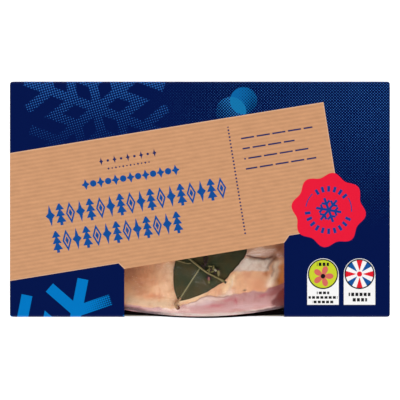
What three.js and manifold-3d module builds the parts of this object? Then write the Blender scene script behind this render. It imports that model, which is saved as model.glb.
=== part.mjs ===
// A smoked gammon joint in its retail pack: a printed card sleeve round a black tray, with the
// joint sealed in the tray and a bay leaf and a sprig of thyme laid on its fat.
//
// Millimetres, +Z up. The pack lies flat with its printed face up. X runs along the sleeve's open
// tube, the window is cut over the front fold at -Y, and the origin is the centre of the underside.

import * as THREE from 'three';
import { mergeVertices } from 'three/addons/utils/BufferGeometryUtils.js';
import Module from 'manifold-3d';

// ---- driving dimensions ----

const pack = { length: 247, width: 153, height: 92 };

const card = {
  thickness: 0.6,
  foldRadius: 1.5,      // outside radius of the four folds
  endCornerRadius: 1.8, // worn corners at the sleeve's open ends, seen from above
  flapWidth: 15.5,      // glue flap, inside the base along the back fold
};

// The window: four corners on the top panel, then straight down the front panel to a sill.
const opening = {
  left: -49.1,
  right: 54.7,
  topAtLeft: -45.3,
  topAtRight: -28.4,
  sill: 30,
  sillRadius: 7,
};

const tray = {
  halfLength: 121,
  halfWidth: 75.3,
  cornerRadius: 28,
  floor: 0.9,
  rim: 42.9,
  wall: 1,
  rimWidth: 7,
  lipDrop: 2.4,
  draft: 9,             // how far each wall leans in between rim and floor
  bulge: 1.8,           // the rim bows out through the window
  bulgeHalfSpan: 54,
};

const joint = {
  endReach: 115,
  frontReach: 76.1,
  backReach: 73.6,
  backPower: 2.5,       // 2 is an ellipse, larger is squarer
  frontPower: 2.2,
  seatPower: 3,         // the same, for the part pressed into the tray
  sectionPower: 2.4,
  widest: 49,
  crown: 86.3,
  seatClearance: 0.9,
  underside: 2.3,
};

// Soft rises in the fat: where, how wide and how high. A negative rise is a dip.
const swells = [
  { at: [40, -31], reach: [13, 7], rise: 1.8 },
  { at: [54, -49], reach: [7, 10], rise: -2.6 },
  { at: [47.5, -51], reach: [3.4, 9], rise: 1.6 },
  { at: [22, -52], reach: [16, 8], rise: 0.9 },
  { at: [-34, -54], reach: [22, 16], rise: 0.8 },
  { at: [-72, 18], reach: [34, 30], rise: 1.3 },
  { at: [68, 34], reach: [30, 22], rise: -1.6 },
];

// Creases pressed into the fat: their two ends, half width and depth.
const creases = [
  { from: [33.5, -37], to: [50, -37.2], halfWidth: 2.4, depth: 2.4 },
  { from: [50, -37.5], to: [44.2, -47], halfWidth: 2.2, depth: 2 },
  { from: [-26.5, -66], to: [-26.5, -57.5], halfWidth: 1.6, depth: 0.8 },
];

const leaf = {
  base: [-13.9, -66.1],
  direction: [0.558, 0.83],
  length: 98,
  halfWidth: 19.8,
  thickness: 0.4,
  clearance: 0.65,
  wave: 0.45,
  stalkRadius: 0.9,
  stalk: [[-12.6, -64.2], [-14.3, -66.6], [-16, -68.4], [-15.2, -70.3], [-13.2, -71.2]],
};

const sprig = {
  clearance: 0.35,
  stemRadius: 0.6,
  shootRadius: 0.38,
  stem: [[-13.5, -35.6], [-5.2, -40.5], [5, -46.8], [15.5, -52.9], [17.4, -54.2]],
  shoots: [
    [[-15.8, -40.2], [-11.5, -41.6], [-7.2, -41.4], [-4, -41.1]],
    [[2.6, -45.4], [3.2, -42], [3.5, -38.8]],
    [[4.4, -46.4], [7.3, -45.2], [10.6, -45.8], [12.4, -48.8]],
    [[4.2, -46.4], [5.2, -49.4], [5.6, -52]],
  ],
  // Leaflets: the place of each one's root on a stem, its heading in degrees, length and width.
  leaflets: [
    [3.1, -41.8, 118, 4, 2],
    [3.2, -41.2, 60, 4.2, 2.1],
    [3.5, -39.3, 88, 3.4, 1.8],
    [7.2, -45.3, 82, 3.2, 2.2],
    [7.6, -45.2, 6, 4, 2.4],
    [10.4, -45.8, 38, 3, 2],
    [10.8, -46, -52, 4.2, 2.2],
    [12.1, -48.2, -96, 3.6, 1.8],
    [5.2, -49.2, -128, 3.6, 2],
    [5.3, -49.6, -60, 3.6, 2],
    [5.6, -51.4, -88, 3.2, 1.8],
    [-1.2, -42.9, 64, 3.8, 1.9],
    [-6.4, -39.8, -118, 3.6, 1.8],
    [-9.4, -38, 44, 4.2, 2],
    [-12.8, -36, 128, 4.2, 2.1],
  ],
  leafletThickness: 0.9,
  rootOverlap: 0.8,
};

const colours = {
  navyCard: 0x06174b,
  blackPlastic: 0x0b0b0c,
  curedFat: 0xdcab85,
  driedBayLeaf: 0x46442f,
  driedThyme: 0x6b6238,
};

// ---- helpers ----

const wasm = await Module();
wasm.setup();

const weldDistance = 1e-3;

// A closed geometry as a solid that can be joined and cut.
function solidFrom(geometry) {
  const plain = geometry.clone();
  plain.deleteAttribute('normal');
  plain.deleteAttribute('uv');
  const merged = mergeVertices(plain, weldDistance);
  return new wasm.Manifold(new wasm.Mesh({
    numProp: 3,
    vertProperties: merged.attributes.position.array,
    triVerts: new Uint32Array(merged.index.array),
  }));
}

function geometryFrom(solid) {
  const mesh = solid.getMesh();
  const geometry = new THREE.BufferGeometry();
  geometry.setAttribute('position', new THREE.BufferAttribute(mesh.vertProperties, 3));
  geometry.setIndex(new THREE.BufferAttribute(mesh.triVerts, 1));
  geometry.computeVertexNormals();
  return geometry;
}

// Moves every vertex of a grid geometry to pointAt(u, v), where u and v run over its uv square.
function reshaped(geometry, pointAt) {
  const position = geometry.attributes.position;
  const uv = geometry.attributes.uv;
  for (let i = 0; i < position.count; i += 1) {
    const point = pointAt(uv.getX(i), uv.getY(i));
    position.setXYZ(i, point[0], point[1], point[2]);
  }
  geometry.computeVertexNormals();
  return geometry;
}

function tubeAlong(points, radius, sides, steps) {
  const section = new THREE.Shape();
  section.absarc(0, 0, radius, 0, 2 * Math.PI);
  const path = new THREE.CatmullRomCurve3(points.map((p) => new THREE.Vector3(...p)));
  return new THREE.ExtrudeGeometry(section, {
    extrudePath: path,
    steps,
    curveSegments: sides,
    bevelEnabled: false,
  });
}

function named(name, geometry, colour, roughness) {
  const material = new THREE.MeshStandardMaterial({ color: colour, roughness, metalness: 0 });
  const mesh = new THREE.Mesh(geometry, material);
  mesh.name = name;
  return mesh;
}

function mix(a, b, t) {
  return a + (b - a) * t;
}

// ---- card sleeve ----

function roundedRectangle(width, height, radius) {
  const w = width / 2;
  const h = height / 2;
  const shape = new THREE.Shape();
  shape.moveTo(-w + radius, -h);
  shape.lineTo(w - radius, -h);
  shape.absarc(w - radius, -h + radius, radius, -Math.PI / 2, 0);
  shape.absarc(w - radius, h - radius, radius, 0, Math.PI / 2);
  shape.absarc(-w + radius, h - radius, radius, Math.PI / 2, Math.PI);
  shape.absarc(-w + radius, -h + radius, radius, Math.PI, 1.5 * Math.PI);
  return shape;
}

// The tube's inside: the folds' inner radius, and a step where the glue flap doubles the base.
function sleeveBore() {
  const t = card.thickness;
  const r = card.foldRadius - t;
  const w = pack.width / 2 - t;
  const h = pack.height / 2 - t;
  const flapEdge = pack.width / 2 - card.flapWidth;
  const bore = new THREE.Path();
  bore.moveTo(-w + r, -h);
  bore.lineTo(flapEdge, -h);
  bore.lineTo(flapEdge, -h + t);
  bore.lineTo(w, -h + t);
  bore.lineTo(w, h - r);
  bore.absarc(w - r, h - r, r, 0, Math.PI / 2);
  bore.absarc(-w + r, h - r, r, Math.PI / 2, Math.PI);
  bore.absarc(-w + r, -h + r, r, Math.PI, 1.5 * Math.PI);
  return bore;
}

const arcSegments = 5;

function sleeveTube() {
  const section = roundedRectangle(pack.width, pack.height, card.foldRadius);
  section.holes.push(sleeveBore());
  const tube = new THREE.ExtrudeGeometry(section, {
    depth: pack.length,
    curveSegments: arcSegments,
    bevelEnabled: false,
  });
  const alongX = new THREE.Matrix4().makeBasis(
    new THREE.Vector3(0, 1, 0),
    new THREE.Vector3(0, 0, 1),
    new THREE.Vector3(1, 0, 0),
  );
  tube.applyMatrix4(alongX);
  tube.translate(-pack.length / 2, 0, pack.height / 2);
  return tube;
}

// Everything inside the sleeve's outline as seen from above, with its worn corners.
function endCornerTrim() {
  const outline = roundedRectangle(pack.length, pack.width, card.endCornerRadius);
  const trim = new THREE.ExtrudeGeometry(outline, {
    depth: pack.height + 2,
    curveSegments: arcSegments,
    bevelEnabled: false,
  });
  trim.translate(0, 0, -1);
  return trim;
}

const cutMargin = 5; // how far a cutting block runs past the card

function topWindowCutter() {
  const outline = new THREE.Shape();
  outline.moveTo(opening.left, -pack.width / 2 - cutMargin);
  outline.lineTo(opening.right, -pack.width / 2 - cutMargin);
  outline.lineTo(opening.right, opening.topAtRight);
  outline.lineTo(opening.left, opening.topAtLeft);
  outline.closePath();
  const block = new THREE.ExtrudeGeometry(outline, { depth: 2 * cutMargin, bevelEnabled: false });
  block.translate(0, 0, pack.height - cutMargin);
  return block;
}

function frontWindowCutter() {
  const r = opening.sillRadius;
  const top = pack.height + cutMargin;
  const outline = new THREE.Shape();
  outline.moveTo(opening.left + r, opening.sill);
  outline.lineTo(opening.right - r, opening.sill);
  outline.absarc(opening.right - r, opening.sill + r, r, -Math.PI / 2, 0);
  outline.lineTo(opening.right, top);
  outline.lineTo(opening.left, top);
  outline.absarc(opening.left + r, opening.sill + r, r, Math.PI, 1.5 * Math.PI);
  const block = new THREE.ExtrudeGeometry(outline, {
    depth: 2 * cutMargin,
    curveSegments: arcSegments,
    bevelEnabled: false,
  });
  block.rotateX(Math.PI / 2);
  block.translate(0, -pack.width / 2 + cutMargin, 0);
  return block;
}

function makeSleeve() {
  const sleeve = solidFrom(sleeveTube())
    .intersect(solidFrom(endCornerTrim()))
    .subtract(solidFrom(topWindowCutter()))
    .subtract(solidFrom(frontWindowCutter()));
  return named('sleeve', geometryFrom(sleeve), colours.navyCard, 0.45);
}

// ---- tray ----

// Stations round the rim. Each has the point its normal starts from and the normal, so that a
// parallel outline is the start plus the normal times the corner radius less the inset.
function trayStations() {
  const cornerSteps = 6;
  const sideSteps = [8, 14]; // along a short side and along a long side
  const x = tray.halfLength - tray.cornerRadius;
  const y = tray.halfWidth - tray.cornerRadius;
  const centres = [[x, y], [-x, y], [-x, -y], [x, -y]];
  const stations = [];
  centres.forEach((centre, k) => {
    const next = centres[(k + 1) % centres.length];
    for (let i = 0; i <= cornerSteps; i += 1) {
      const angle = (k + i / cornerSteps) * Math.PI / 2;
      stations.push({ from: centre, normal: [Math.cos(angle), Math.sin(angle)] });
    }
    const steps = sideSteps[(k + 1) % 2];
    const across = (k + 1) * Math.PI / 2;
    for (let i = 1; i < steps; i += 1) {
      stations.push({
        from: [mix(centre[0], next[0], i / steps), mix(centre[1], next[1], i / steps)],
        normal: [Math.cos(across), Math.sin(across)],
      });
    }
  });
  return stations;
}

// The tray's wall as (inset from the rim's edge, height), from the underside's centre round the
// rim to the floor's centre. A share below 1 is the floor, drawn in towards the centre.
function trayProfile() {
  const foot = tray.rimWidth + tray.draft;
  const floorTop = tray.floor + tray.wall;
  const underRim = tray.rim - tray.wall;
  return [
    { inset: foot + 4, z: tray.floor, share: 0 },
    { inset: foot + 4, z: tray.floor },
    { inset: foot + 1.2, z: tray.floor + 1.4 },
    { inset: foot + 0.4, z: tray.floor + 4 },
    { inset: tray.rimWidth + 0.5, z: underRim - 1 },
    { inset: tray.rimWidth - 0.4, z: underRim },
    { inset: tray.wall, z: underRim },
    { inset: tray.wall, z: underRim - tray.lipDrop },
    { inset: 0, z: underRim - tray.lipDrop },
    { inset: 0, z: tray.rim },
    { inset: tray.rimWidth, z: tray.rim },
    { inset: tray.rimWidth + 1.4, z: tray.rim - 1.7 },
    { inset: foot + 1.4, z: tray.floor + 4.4 },
    { inset: foot + 2.2, z: tray.floor + 2.2 },
    { inset: foot + 4.6, z: floorTop },
    { inset: foot + 4.6, z: floorTop, share: 0 },
  ];
}

// How far the rim bows out through the window, at its full width and fading down the wall.
function rimBow(x, normal, inset) {
  const middle = (opening.left + opening.right) / 2;
  const along = Math.min(Math.abs(x - middle) / tray.bulgeHalfSpan, 1);
  const facing = Math.max(-normal[1], 0);
  const fade = Math.max(1 - inset / (tray.rimWidth + tray.draft), 0);
  return tray.bulge * Math.cos(along * Math.PI / 2) ** 2 * facing * fade;
}

function trayPoint(station, row) {
  const reach = tray.cornerRadius - row.inset;
  const x = station.from[0] + station.normal[0] * reach;
  const y = station.from[1] + station.normal[1] * reach;
  const share = row.share ?? 1;
  return [x * share, (y - rimBow(x, station.normal, row.inset)) * share, row.z];
}

// A turned body with one column for each station, then moved out to the tray's own outline.
function makeTray() {
  const stations = trayStations();
  const rows = trayProfile();
  const profile = rows.map((row) => new THREE.Vector2(row.share === 0 ? 0 : 1, row.z));
  const body = reshaped(new THREE.LatheGeometry(profile, stations.length), (u, v) => {
    const column = Math.round(u * stations.length) % stations.length;
    return trayPoint(stations[column], rows[Math.round(v * (rows.length - 1))]);
  });
  return named('tray', geometryFrom(solidFrom(body)), colours.blackPlastic, 0.25);
}

// ---- gammon joint ----

// Distance from the centre line to a squared ellipse's edge, in a given direction.
function reachAt(angle, halfX, halfY, power) {
  const x = Math.abs(Math.cos(angle)) / halfX;
  const y = Math.abs(Math.sin(angle)) / halfY;
  return (x ** power + y ** power) ** (-1 / power);
}

function outlineReach(angle) {
  return Math.sin(angle) < 0
    ? reachAt(angle, joint.endReach, joint.frontReach, joint.frontPower)
    : reachAt(angle, joint.endReach, joint.backReach, joint.backPower);
}

function seatReach(angle, inset) {
  const clear = inset + joint.seatClearance;
  return reachAt(angle, tray.halfLength - clear, tray.halfWidth - clear, joint.seatPower);
}

function segmentDistance(x, y, from, to) {
  const dx = to[0] - from[0];
  const dy = to[1] - from[1];
  const along = ((x - from[0]) * dx + (y - from[1]) * dy) / (dx * dx + dy * dy);
  const t = Math.min(Math.max(along, 0), 1);
  return Math.hypot(x - from[0] - t * dx, y - from[1] - t * dy);
}

function fatRelief(x, y) {
  let height = 0.7 * Math.sin(x / 31 + 0.6) * Math.cos(y / 23);
  for (const swell of swells) {
    const dx = (x - swell.at[0]) / swell.reach[0];
    const dy = (y - swell.at[1]) / swell.reach[1];
    height += swell.rise * Math.exp(-dx * dx - dy * dy);
  }
  for (const crease of creases) {
    const away = segmentDistance(x, y, crease.from, crease.to) / crease.halfWidth;
    height -= crease.depth * Math.exp(-away * away);
  }
  return height;
}

// Height of the joint's upper surface: a squared dome over the outline, with the fat's relief.
function jointTop(x, y) {
  const share = Math.min(Math.hypot(x, y) / outlineReach(Math.atan2(y, x)), 1);
  const dome = (1 - share ** joint.sectionPower) ** (1 / joint.sectionPower);
  const relief = fatRelief(x, y) * (1 - share ** 8);
  return joint.widest + (joint.crown - joint.widest) * dome + relief;
}

// Height of a point that stands off the upper surface by a distance measured square to it.
function heightOver(x, y, standOff) {
  const step = 0.5;
  const slopeX = (jointTop(x + step, y) - jointTop(x - step, y)) / (2 * step);
  const slopeY = (jointTop(x, y + step) - jointTop(x, y - step)) / (2 * step);
  return jointTop(x, y) + standOff * Math.hypot(1, slopeX, slopeY);
}

// The joint's rows from the underside up to the widest line. Each row takes its outline from the
// tray's wall at an inset, and swells out to the free outline by its share of the overhang.
function seatRows() {
  const foot = tray.rimWidth + tray.draft;
  return [
    { inset: foot + 6, z: joint.underside, share: 0 },
    { inset: foot + 6, z: joint.underside, share: 0.55 },
    { inset: foot + 6, z: joint.underside },
    { inset: foot + 1.4, z: 8 },
    { inset: foot - 2, z: 22 },
    { inset: foot - 5.8, z: 36 },
    { inset: tray.rimWidth + 1.5, z: 41.8 },
    { inset: tray.rimWidth + 0.4, z: tray.rim + 0.5, overhang: 0 },
    { inset: tray.rimWidth + 0.4, z: tray.rim + 1.2, overhang: 0.5 },
    { inset: tray.rimWidth + 0.4, z: tray.rim + 2.6, overhang: 0.86 },
  ];
}

const frontCrowding = 0.45; // columns stand closer together along the front, where the fat folds

function jointColumn(u) {
  const turn = 2 * Math.PI * u;
  return turn - frontCrowding * Math.cos(turn);
}

// A point of the joint's skin below its widest line.
function seatPoint(angle, { inset, z, share = 1, overhang = 0 }) {
  const reach = mix(seatReach(angle, inset), outlineReach(angle), overhang) * share;
  return [Math.cos(angle) * reach, Math.sin(angle) * reach, z];
}

// A point of its dome, where climb runs from 0 at the widest line to 1 at the crown.
function domePoint(angle, climb) {
  const share = Math.cos(climb * Math.PI / 2) ** (2 / joint.sectionPower);
  const x = Math.cos(angle) * outlineReach(angle) * share;
  const y = Math.sin(angle) * outlineReach(angle) * share;
  return [x, y, jointTop(x, y)];
}

function makeGammon() {
  const columns = 84;
  const domeRows = 18;
  const lower = seatRows();
  const rows = lower.length + domeRows;
  const body = reshaped(new THREE.SphereGeometry(1, columns, rows), (u, v) => {
    const angle = jointColumn(u);
    const row = Math.round(v * rows);
    return row < lower.length
      ? seatPoint(angle, lower[row])
      : domePoint(angle, (row - lower.length) / domeRows);
  });
  return named('gammon', geometryFrom(solidFrom(body)), colours.curedFat, 0.4);
}

// ---- bay leaf ----

// Half the blade's width at a share s of its length, narrow at the stalk and at the tip.
function bladeHalfWidth(s) {
  return leaf.halfWidth * Math.sin(Math.PI * s ** 0.8) ** 0.85;
}

// A point of the blade's underside: s along the midrib, t from edge to edge.
function bladePoint(s, t) {
  const across = t * bladeHalfWidth(s);
  const x = leaf.base[0] + leaf.direction[0] * s * leaf.length + leaf.direction[1] * across;
  const y = leaf.base[1] + leaf.direction[1] * s * leaf.length - leaf.direction[0] * across;
  const wave = leaf.wave * t * t * (1 + Math.sin(11 * s + 2.2 * t)) / 2;
  return [x, y, heightOver(x, y, leaf.clearance + wave)];
}

// The rim of a grid of points, in order and anticlockwise from above.
function gridRim(stepsX, stepsY) {
  const columns = stepsX + 1;
  const rim = [];
  for (let i = 0; i < stepsX; i += 1) {
    rim.push(stepsY * columns + i);
  }
  for (let j = stepsY; j > 0; j -= 1) {
    rim.push(j * columns + stepsX);
  }
  for (let i = stepsX; i > 0; i -= 1) {
    rim.push(i);
  }
  for (let j = 0; j < stepsY; j += 1) {
    rim.push(j * columns);
  }
  return rim;
}

// A thin closed sheet: one grid of triangles above and the same below, joined round the rim.
// pointAt takes a place on the grid, each way from 0 to 1, and which face it is on.
function sheetGeometry(stepsX, stepsY, pointAt) {
  const grid = new THREE.PlaneGeometry(1, 1, stepsX, stepsY);
  const place = grid.attributes.position;
  const points = [];
  for (const onTop of [false, true]) {
    for (let i = 0; i < place.count; i += 1) {
      points.push(...pointAt(place.getX(i) + 0.5, place.getY(i) + 0.5, onTop));
    }
  }
  const faces = [];
  for (let i = 0; i < grid.index.count; i += 3) {
    const [a, b, c] = [0, 1, 2].map((k) => grid.index.getX(i + k));
    faces.push(a, c, b, a + place.count, b + place.count, c + place.count);
  }
  const rim = gridRim(stepsX, stepsY);
  rim.forEach((a, k) => {
    const b = rim[(k + 1) % rim.length];
    faces.push(a, b, b + place.count, a, b + place.count, a + place.count);
  });
  const sheet = new THREE.BufferGeometry();
  sheet.setAttribute('position', new THREE.Float32BufferAttribute(points, 3));
  sheet.setIndex(faces);
  return sheet;
}

function bladeSolid() {
  const alongSteps = 18;
  const acrossSteps = 8;
  const tipMargin = 0.015;
  return solidFrom(sheetGeometry(alongSteps, acrossSteps, (along, across, onTop) => {
    const point = bladePoint(mix(tipMargin, 1 - tipMargin, along), 1 - 2 * across);
    return onTop ? [point[0], point[1], point[2] + leaf.thickness] : point;
  }));
}

function makeBayLeaf() {
  const standOff = leaf.clearance + leaf.stalkRadius - 0.15;
  const route = leaf.stalk.map(([x, y]) => [x, y, heightOver(x, y, standOff)]);
  const stalk = solidFrom(tubeAlong(route, leaf.stalkRadius, 3, 8));
  return named('bay_leaf', geometryFrom(bladeSolid().add(stalk)), colours.driedBayLeaf, 0.5);
}

// ---- thyme ----

// Lowest height that clears both the joint and the leaf at a place.
function restHeight(x, y) {
  const layers = leaf.clearance + leaf.wave + leaf.thickness + sprig.clearance;
  return heightOver(x, y, layers);
}

function sprigStem(points, radius, steps) {
  const route = points.map(([x, y]) => [x, y, restHeight(x, y) + sprig.stemRadius]);
  return solidFrom(tubeAlong(route, radius, 2, steps));
}

// A pointed oval leaflet that starts just inside its stem and follows the surface below.
function sprigLeaflet([rootX, rootY, heading, length, width]) {
  const turn = THREE.MathUtils.degToRad(heading);
  const forward = [Math.cos(turn), Math.sin(turn)];
  const leaflet = reshaped(new THREE.SphereGeometry(1, 5, 4), (u, v) => {
    const round = 2 * Math.PI * u;
    const along = (1 - Math.cos(Math.PI * v)) / 2 * length - sprig.rootOverlap;
    const girth = Math.sin(Math.PI * v) ** 0.8;
    const side = Math.cos(round) * girth * width / 2;
    const x = rootX + forward[0] * along - forward[1] * side;
    const y = rootY + forward[1] * along + forward[0] * side;
    const lift = sprig.stemRadius + Math.sin(round) * girth * sprig.leafletThickness / 2;
    return [x, y, restHeight(x, y) + lift];
  });
  return solidFrom(leaflet);
}

function makeThyme() {
  let thyme = sprigStem(sprig.stem, sprig.stemRadius, 10);
  for (const shoot of sprig.shoots) {
    thyme = thyme.add(sprigStem(shoot, sprig.shootRadius, 5));
  }
  for (const leaflet of sprig.leaflets) {
    thyme = thyme.add(sprigLeaflet(leaflet));
  }
  return named('thyme_sprig', geometryFrom(thyme), colours.driedThyme, 0.7);
}

// ---- the whole pack ----

const gammonPack = new THREE.Group();
gammonPack.add(makeSleeve(), makeTray(), makeGammon(), makeBayLeaf(), makeThyme());

export default gammonPack;
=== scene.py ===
# A smoked gammon joint in its retail pack: a printed card sleeve round a black tray, with the joint
# sealed in the tray under clear film and a bay leaf and a sprig of thyme laid on its fat.
# Settings are in millimetres in the CAD's own frame, with +X along the sleeve and +Z up.
import math

import bpy
import numpy as np
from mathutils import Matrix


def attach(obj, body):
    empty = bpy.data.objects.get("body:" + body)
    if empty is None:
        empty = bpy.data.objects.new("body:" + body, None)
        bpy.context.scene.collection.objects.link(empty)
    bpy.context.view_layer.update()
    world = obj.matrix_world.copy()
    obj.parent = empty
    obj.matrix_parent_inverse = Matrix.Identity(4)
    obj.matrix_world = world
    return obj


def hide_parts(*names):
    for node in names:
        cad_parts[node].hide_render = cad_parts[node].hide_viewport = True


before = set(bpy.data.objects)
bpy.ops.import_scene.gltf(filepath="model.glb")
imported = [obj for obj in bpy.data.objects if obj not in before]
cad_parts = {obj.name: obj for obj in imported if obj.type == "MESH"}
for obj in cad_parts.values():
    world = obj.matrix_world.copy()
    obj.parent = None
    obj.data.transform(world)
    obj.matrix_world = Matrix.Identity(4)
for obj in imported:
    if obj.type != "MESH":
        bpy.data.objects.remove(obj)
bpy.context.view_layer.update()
mm = 0.001
print("frame loaded")


# a colour as it looks on a screen, turned into the renderer's linear values
def screenColour(red, green, blue):
    channels = [c / 255 for c in (red, green, blue)]
    linear = [c / 12.92 if c <= 0.04045 else ((c + 0.055) / 1.055) ** 2.4 for c in channels]
    return (*linear, 1.0)


# a shader socket that sums can be written on: each sum adds its Math node
class Wire:
    def __init__(self, finish, socket):
        self.finish = finish
        self.socket = socket

    def math(self, operation, *others):
        sockets = dict(enumerate((self, *others)))
        return self.finish.node("ShaderNodeMath", {"operation": operation}, sockets)

    def __add__(self, other):
        return self.math("ADD", other)

    def __sub__(self, other):
        return self.math("SUBTRACT", other)

    def __rsub__(self, other):
        return self.finish.node("ShaderNodeMath", {"operation": "SUBTRACT"}, {0: other, 1: self})

    def __mul__(self, other):
        return self.math("MULTIPLY", other)

    def __truediv__(self, other):
        return self.math("DIVIDE", other)

    def __pow__(self, other):
        return self.math("POWER", other)

    def __mod__(self, other):
        return self.math("FLOORED_MODULO", other)

    def __abs__(self):
        return self.math("ABSOLUTE")

    __radd__ = __add__
    __rmul__ = __mul__

    def least(self, other):
        return self.math("MINIMUM", other)

    def most(self, other):
        return self.math("MAXIMUM", other)

    def cosine(self):
        return self.math("COSINE")

    def sine(self):
        return self.math("SINE")

    def floor(self):
        return self.math("FLOOR")

    def root(self):
        return self.math("SQRT")

    # 1 where this is under the other value, else 0
    def under(self, other):
        return self.math("LESS_THAN", other)

    # runs from 0 at start to 1 at end and holds there
    def ramp(self, start, end, smooth=True):
        settings = {"interpolation_type": "SMOOTHSTEP" if smooth else "LINEAR"}
        sockets = {"Value": self, "From Min": start, "From Max": end}
        return self.finish.node("ShaderNodeMapRange", settings, sockets)

    # 1 inside a shape and 0 outside, from the distance to its edge, which is negative inside
    def inside(self, soft=0.12):
        return self.ramp(soft, -soft, smooth=False)

    # another output of the same node
    def output(self, place):
        return Wire(self.finish, self.socket.node.outputs[place])


# one material, or the world, and the nodes that make it up
class Finish:
    def __init__(self, name, owner=None):
        self.owner = owner or bpy.data.materials.new(name)
        self.owner.use_nodes = True
        self.tree = self.owner.node_tree
        self.tree.nodes.clear()

    # any node: its type, its settings, then the values or links of its sockets by name or place
    def node(self, kind, settings=None, sockets=None, output=0):
        node = self.tree.nodes.new(kind)
        for name, value in (settings or {}).items():
            setattr(node, name, value)
        for place, value in (sockets or {}).items():
            if isinstance(value, Wire):
                self.tree.links.new(value.socket, node.inputs[place])
            else:
                node.inputs[place].default_value = value
        return Wire(self, node.outputs[output]) if len(node.outputs) else node

    # the object's own coordinates in millimetres, stretched along each axis
    def place(self, stretch=(1, 1, 1)):
        here = self.node("ShaderNodeTexCoord", output="Object")
        scale = tuple(s / mm for s in stretch)
        return self.node("ShaderNodeVectorMath", {"operation": "MULTIPLY"}, {0: here, 1: scale})

    def parts(self, vector):
        x = self.node("ShaderNodeSeparateXYZ", sockets={0: vector})
        return x, x.output(1), x.output(2)

    def vector(self, x, y, z=0.0):
        return self.node("ShaderNodeCombineXYZ", sockets={0: x, 1: y, 2: z})

    # cloudy noise about 0.5, with size the width of its largest clouds in millimetres
    def noise(self, vector, size, detail=3.0, roughness=0.55):
        sockets = {"Vector": vector, "Scale": 1 / size, "Detail": detail, "Roughness": roughness}
        return self.node("ShaderNodeTexNoise", sockets=sockets)

    def attribute(self, name, output="Fac"):
        return self.node("ShaderNodeAttribute", {"attribute_name": name}, output=output)

    # the lower colour with the upper one laid over it where the mask is 1
    def layer(self, lower, mask, upper, blend="MIX"):
        settings = {"data_type": "RGBA", "blend_type": blend}
        return self.node("ShaderNodeMix", settings, {0: mask, 6: lower, 7: upper}, output=2)

    # the colour made lighter or darker by a number that is about 1
    def shade(self, colour, amount):
        grey = self.vector(amount, amount, amount)
        flat = colour if isinstance(colour, Wire) else colour[:3]
        return self.node("ShaderNodeVectorMath", {"operation": "MULTIPLY"}, {0: flat, 1: grey})

    def bump(self, height, distance, strength=1.0, below=None):
        sockets = {"Height": height, "Distance": distance * mm, "Strength": strength}
        if below is not None:
            sockets["Normal"] = below
        return self.node("ShaderNodeBump", sockets=sockets)

    def principled(self, sockets):
        return self.node("ShaderNodeBsdfPrincipled", sockets=sockets)

    def show(self, shader):
        self.node("ShaderNodeOutputMaterial", sockets={"Surface": shader})
        return self.owner


# a mesh object from points in millimetres and arrays of faces with three or four corners
def makePiece(name, points, faceSets, material, maps=None, values=None, creaseAngle=None):
    corners = np.concatenate([faces.ravel() for faces in faceSets])
    sizes = np.concatenate([np.full(len(faces), faces.shape[1]) for faces in faceSets])
    starts = np.concatenate([[0], np.cumsum(sizes)[:-1]])
    mesh = bpy.data.meshes.new(name)
    mesh.vertices.add(len(points))
    mesh.vertices.foreach_set("co", (points * mm).astype(np.float32).ravel())
    mesh.loops.add(len(corners))
    mesh.loops.foreach_set("vertex_index", corners.astype(np.int32))
    mesh.polygons.add(len(sizes))
    mesh.polygons.foreach_set("loop_start", starts.astype(np.int32))
    mesh.update(calc_edges=True)
    for mapName, flat in (maps or {}).items():
        layer = mesh.uv_layers.new(name=mapName)
        layer.data.foreach_set("uv", flat.astype(np.float32).ravel())
    for valueName, (domain, amounts) in (values or {}).items():
        flat = np.asarray(amounts, dtype=np.float32)
        kind, field = ("FLOAT_COLOR", "color") if flat.ndim > 1 else ("FLOAT", "value")
        layer = mesh.attributes.new(valueName, kind, domain)
        layer.data.foreach_set(field, flat.ravel())
    mesh.shade_smooth()
    if creaseAngle:
        mesh.set_sharp_from_angle(angle=math.radians(creaseAngle))
    mesh.materials.append(material)
    piece = bpy.data.objects.new(name, mesh)
    bpy.context.scene.collection.objects.link(piece)
    return piece


# every face of a grid of points kept row by row, closed from its last column to its first if joined
def gridFaces(rows, columns, joined=False):
    across = columns if joined else columns - 1
    i, j = np.meshgrid(np.arange(rows - 1), np.arange(across), indexing="ij")
    k = (j + 1) % columns
    quads = [i * columns + j, i * columns + k, (i + 1) * columns + k, (i + 1) * columns + j]
    return np.stack(quads, axis=-1).reshape(-1, 4)


# triangles from a closed ring of points to one middle point
def fanFaces(first, count, middle, facingUp):
    ring = first + np.arange(count)
    after = first + (np.arange(count) + 1) % count
    sides = (ring, after) if facingUp else (after, ring)
    return np.stack([*sides, np.full(count, middle)], axis=-1)


# a closed body from a grid of rings, with one point added at each end
def closedBody(grid, lowest, highest):
    rows, columns = grid.shape[:2]
    points = np.concatenate([grid.reshape(-1, 3), [lowest], [highest]])
    faces = [gridFaces(rows, columns, joined=True),
             fanFaces(0, columns, rows * columns, False),
             fanFaces((rows - 1) * columns, columns, rows * columns + 1, True)]
    return points, faces


def mix(a, b, t):
    return a + (b - a) * t


def softStep(value, start, end):
    t = np.clip((value - start) / (end - start), 0, 1)
    return t * t * (3 - 2 * t)


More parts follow.
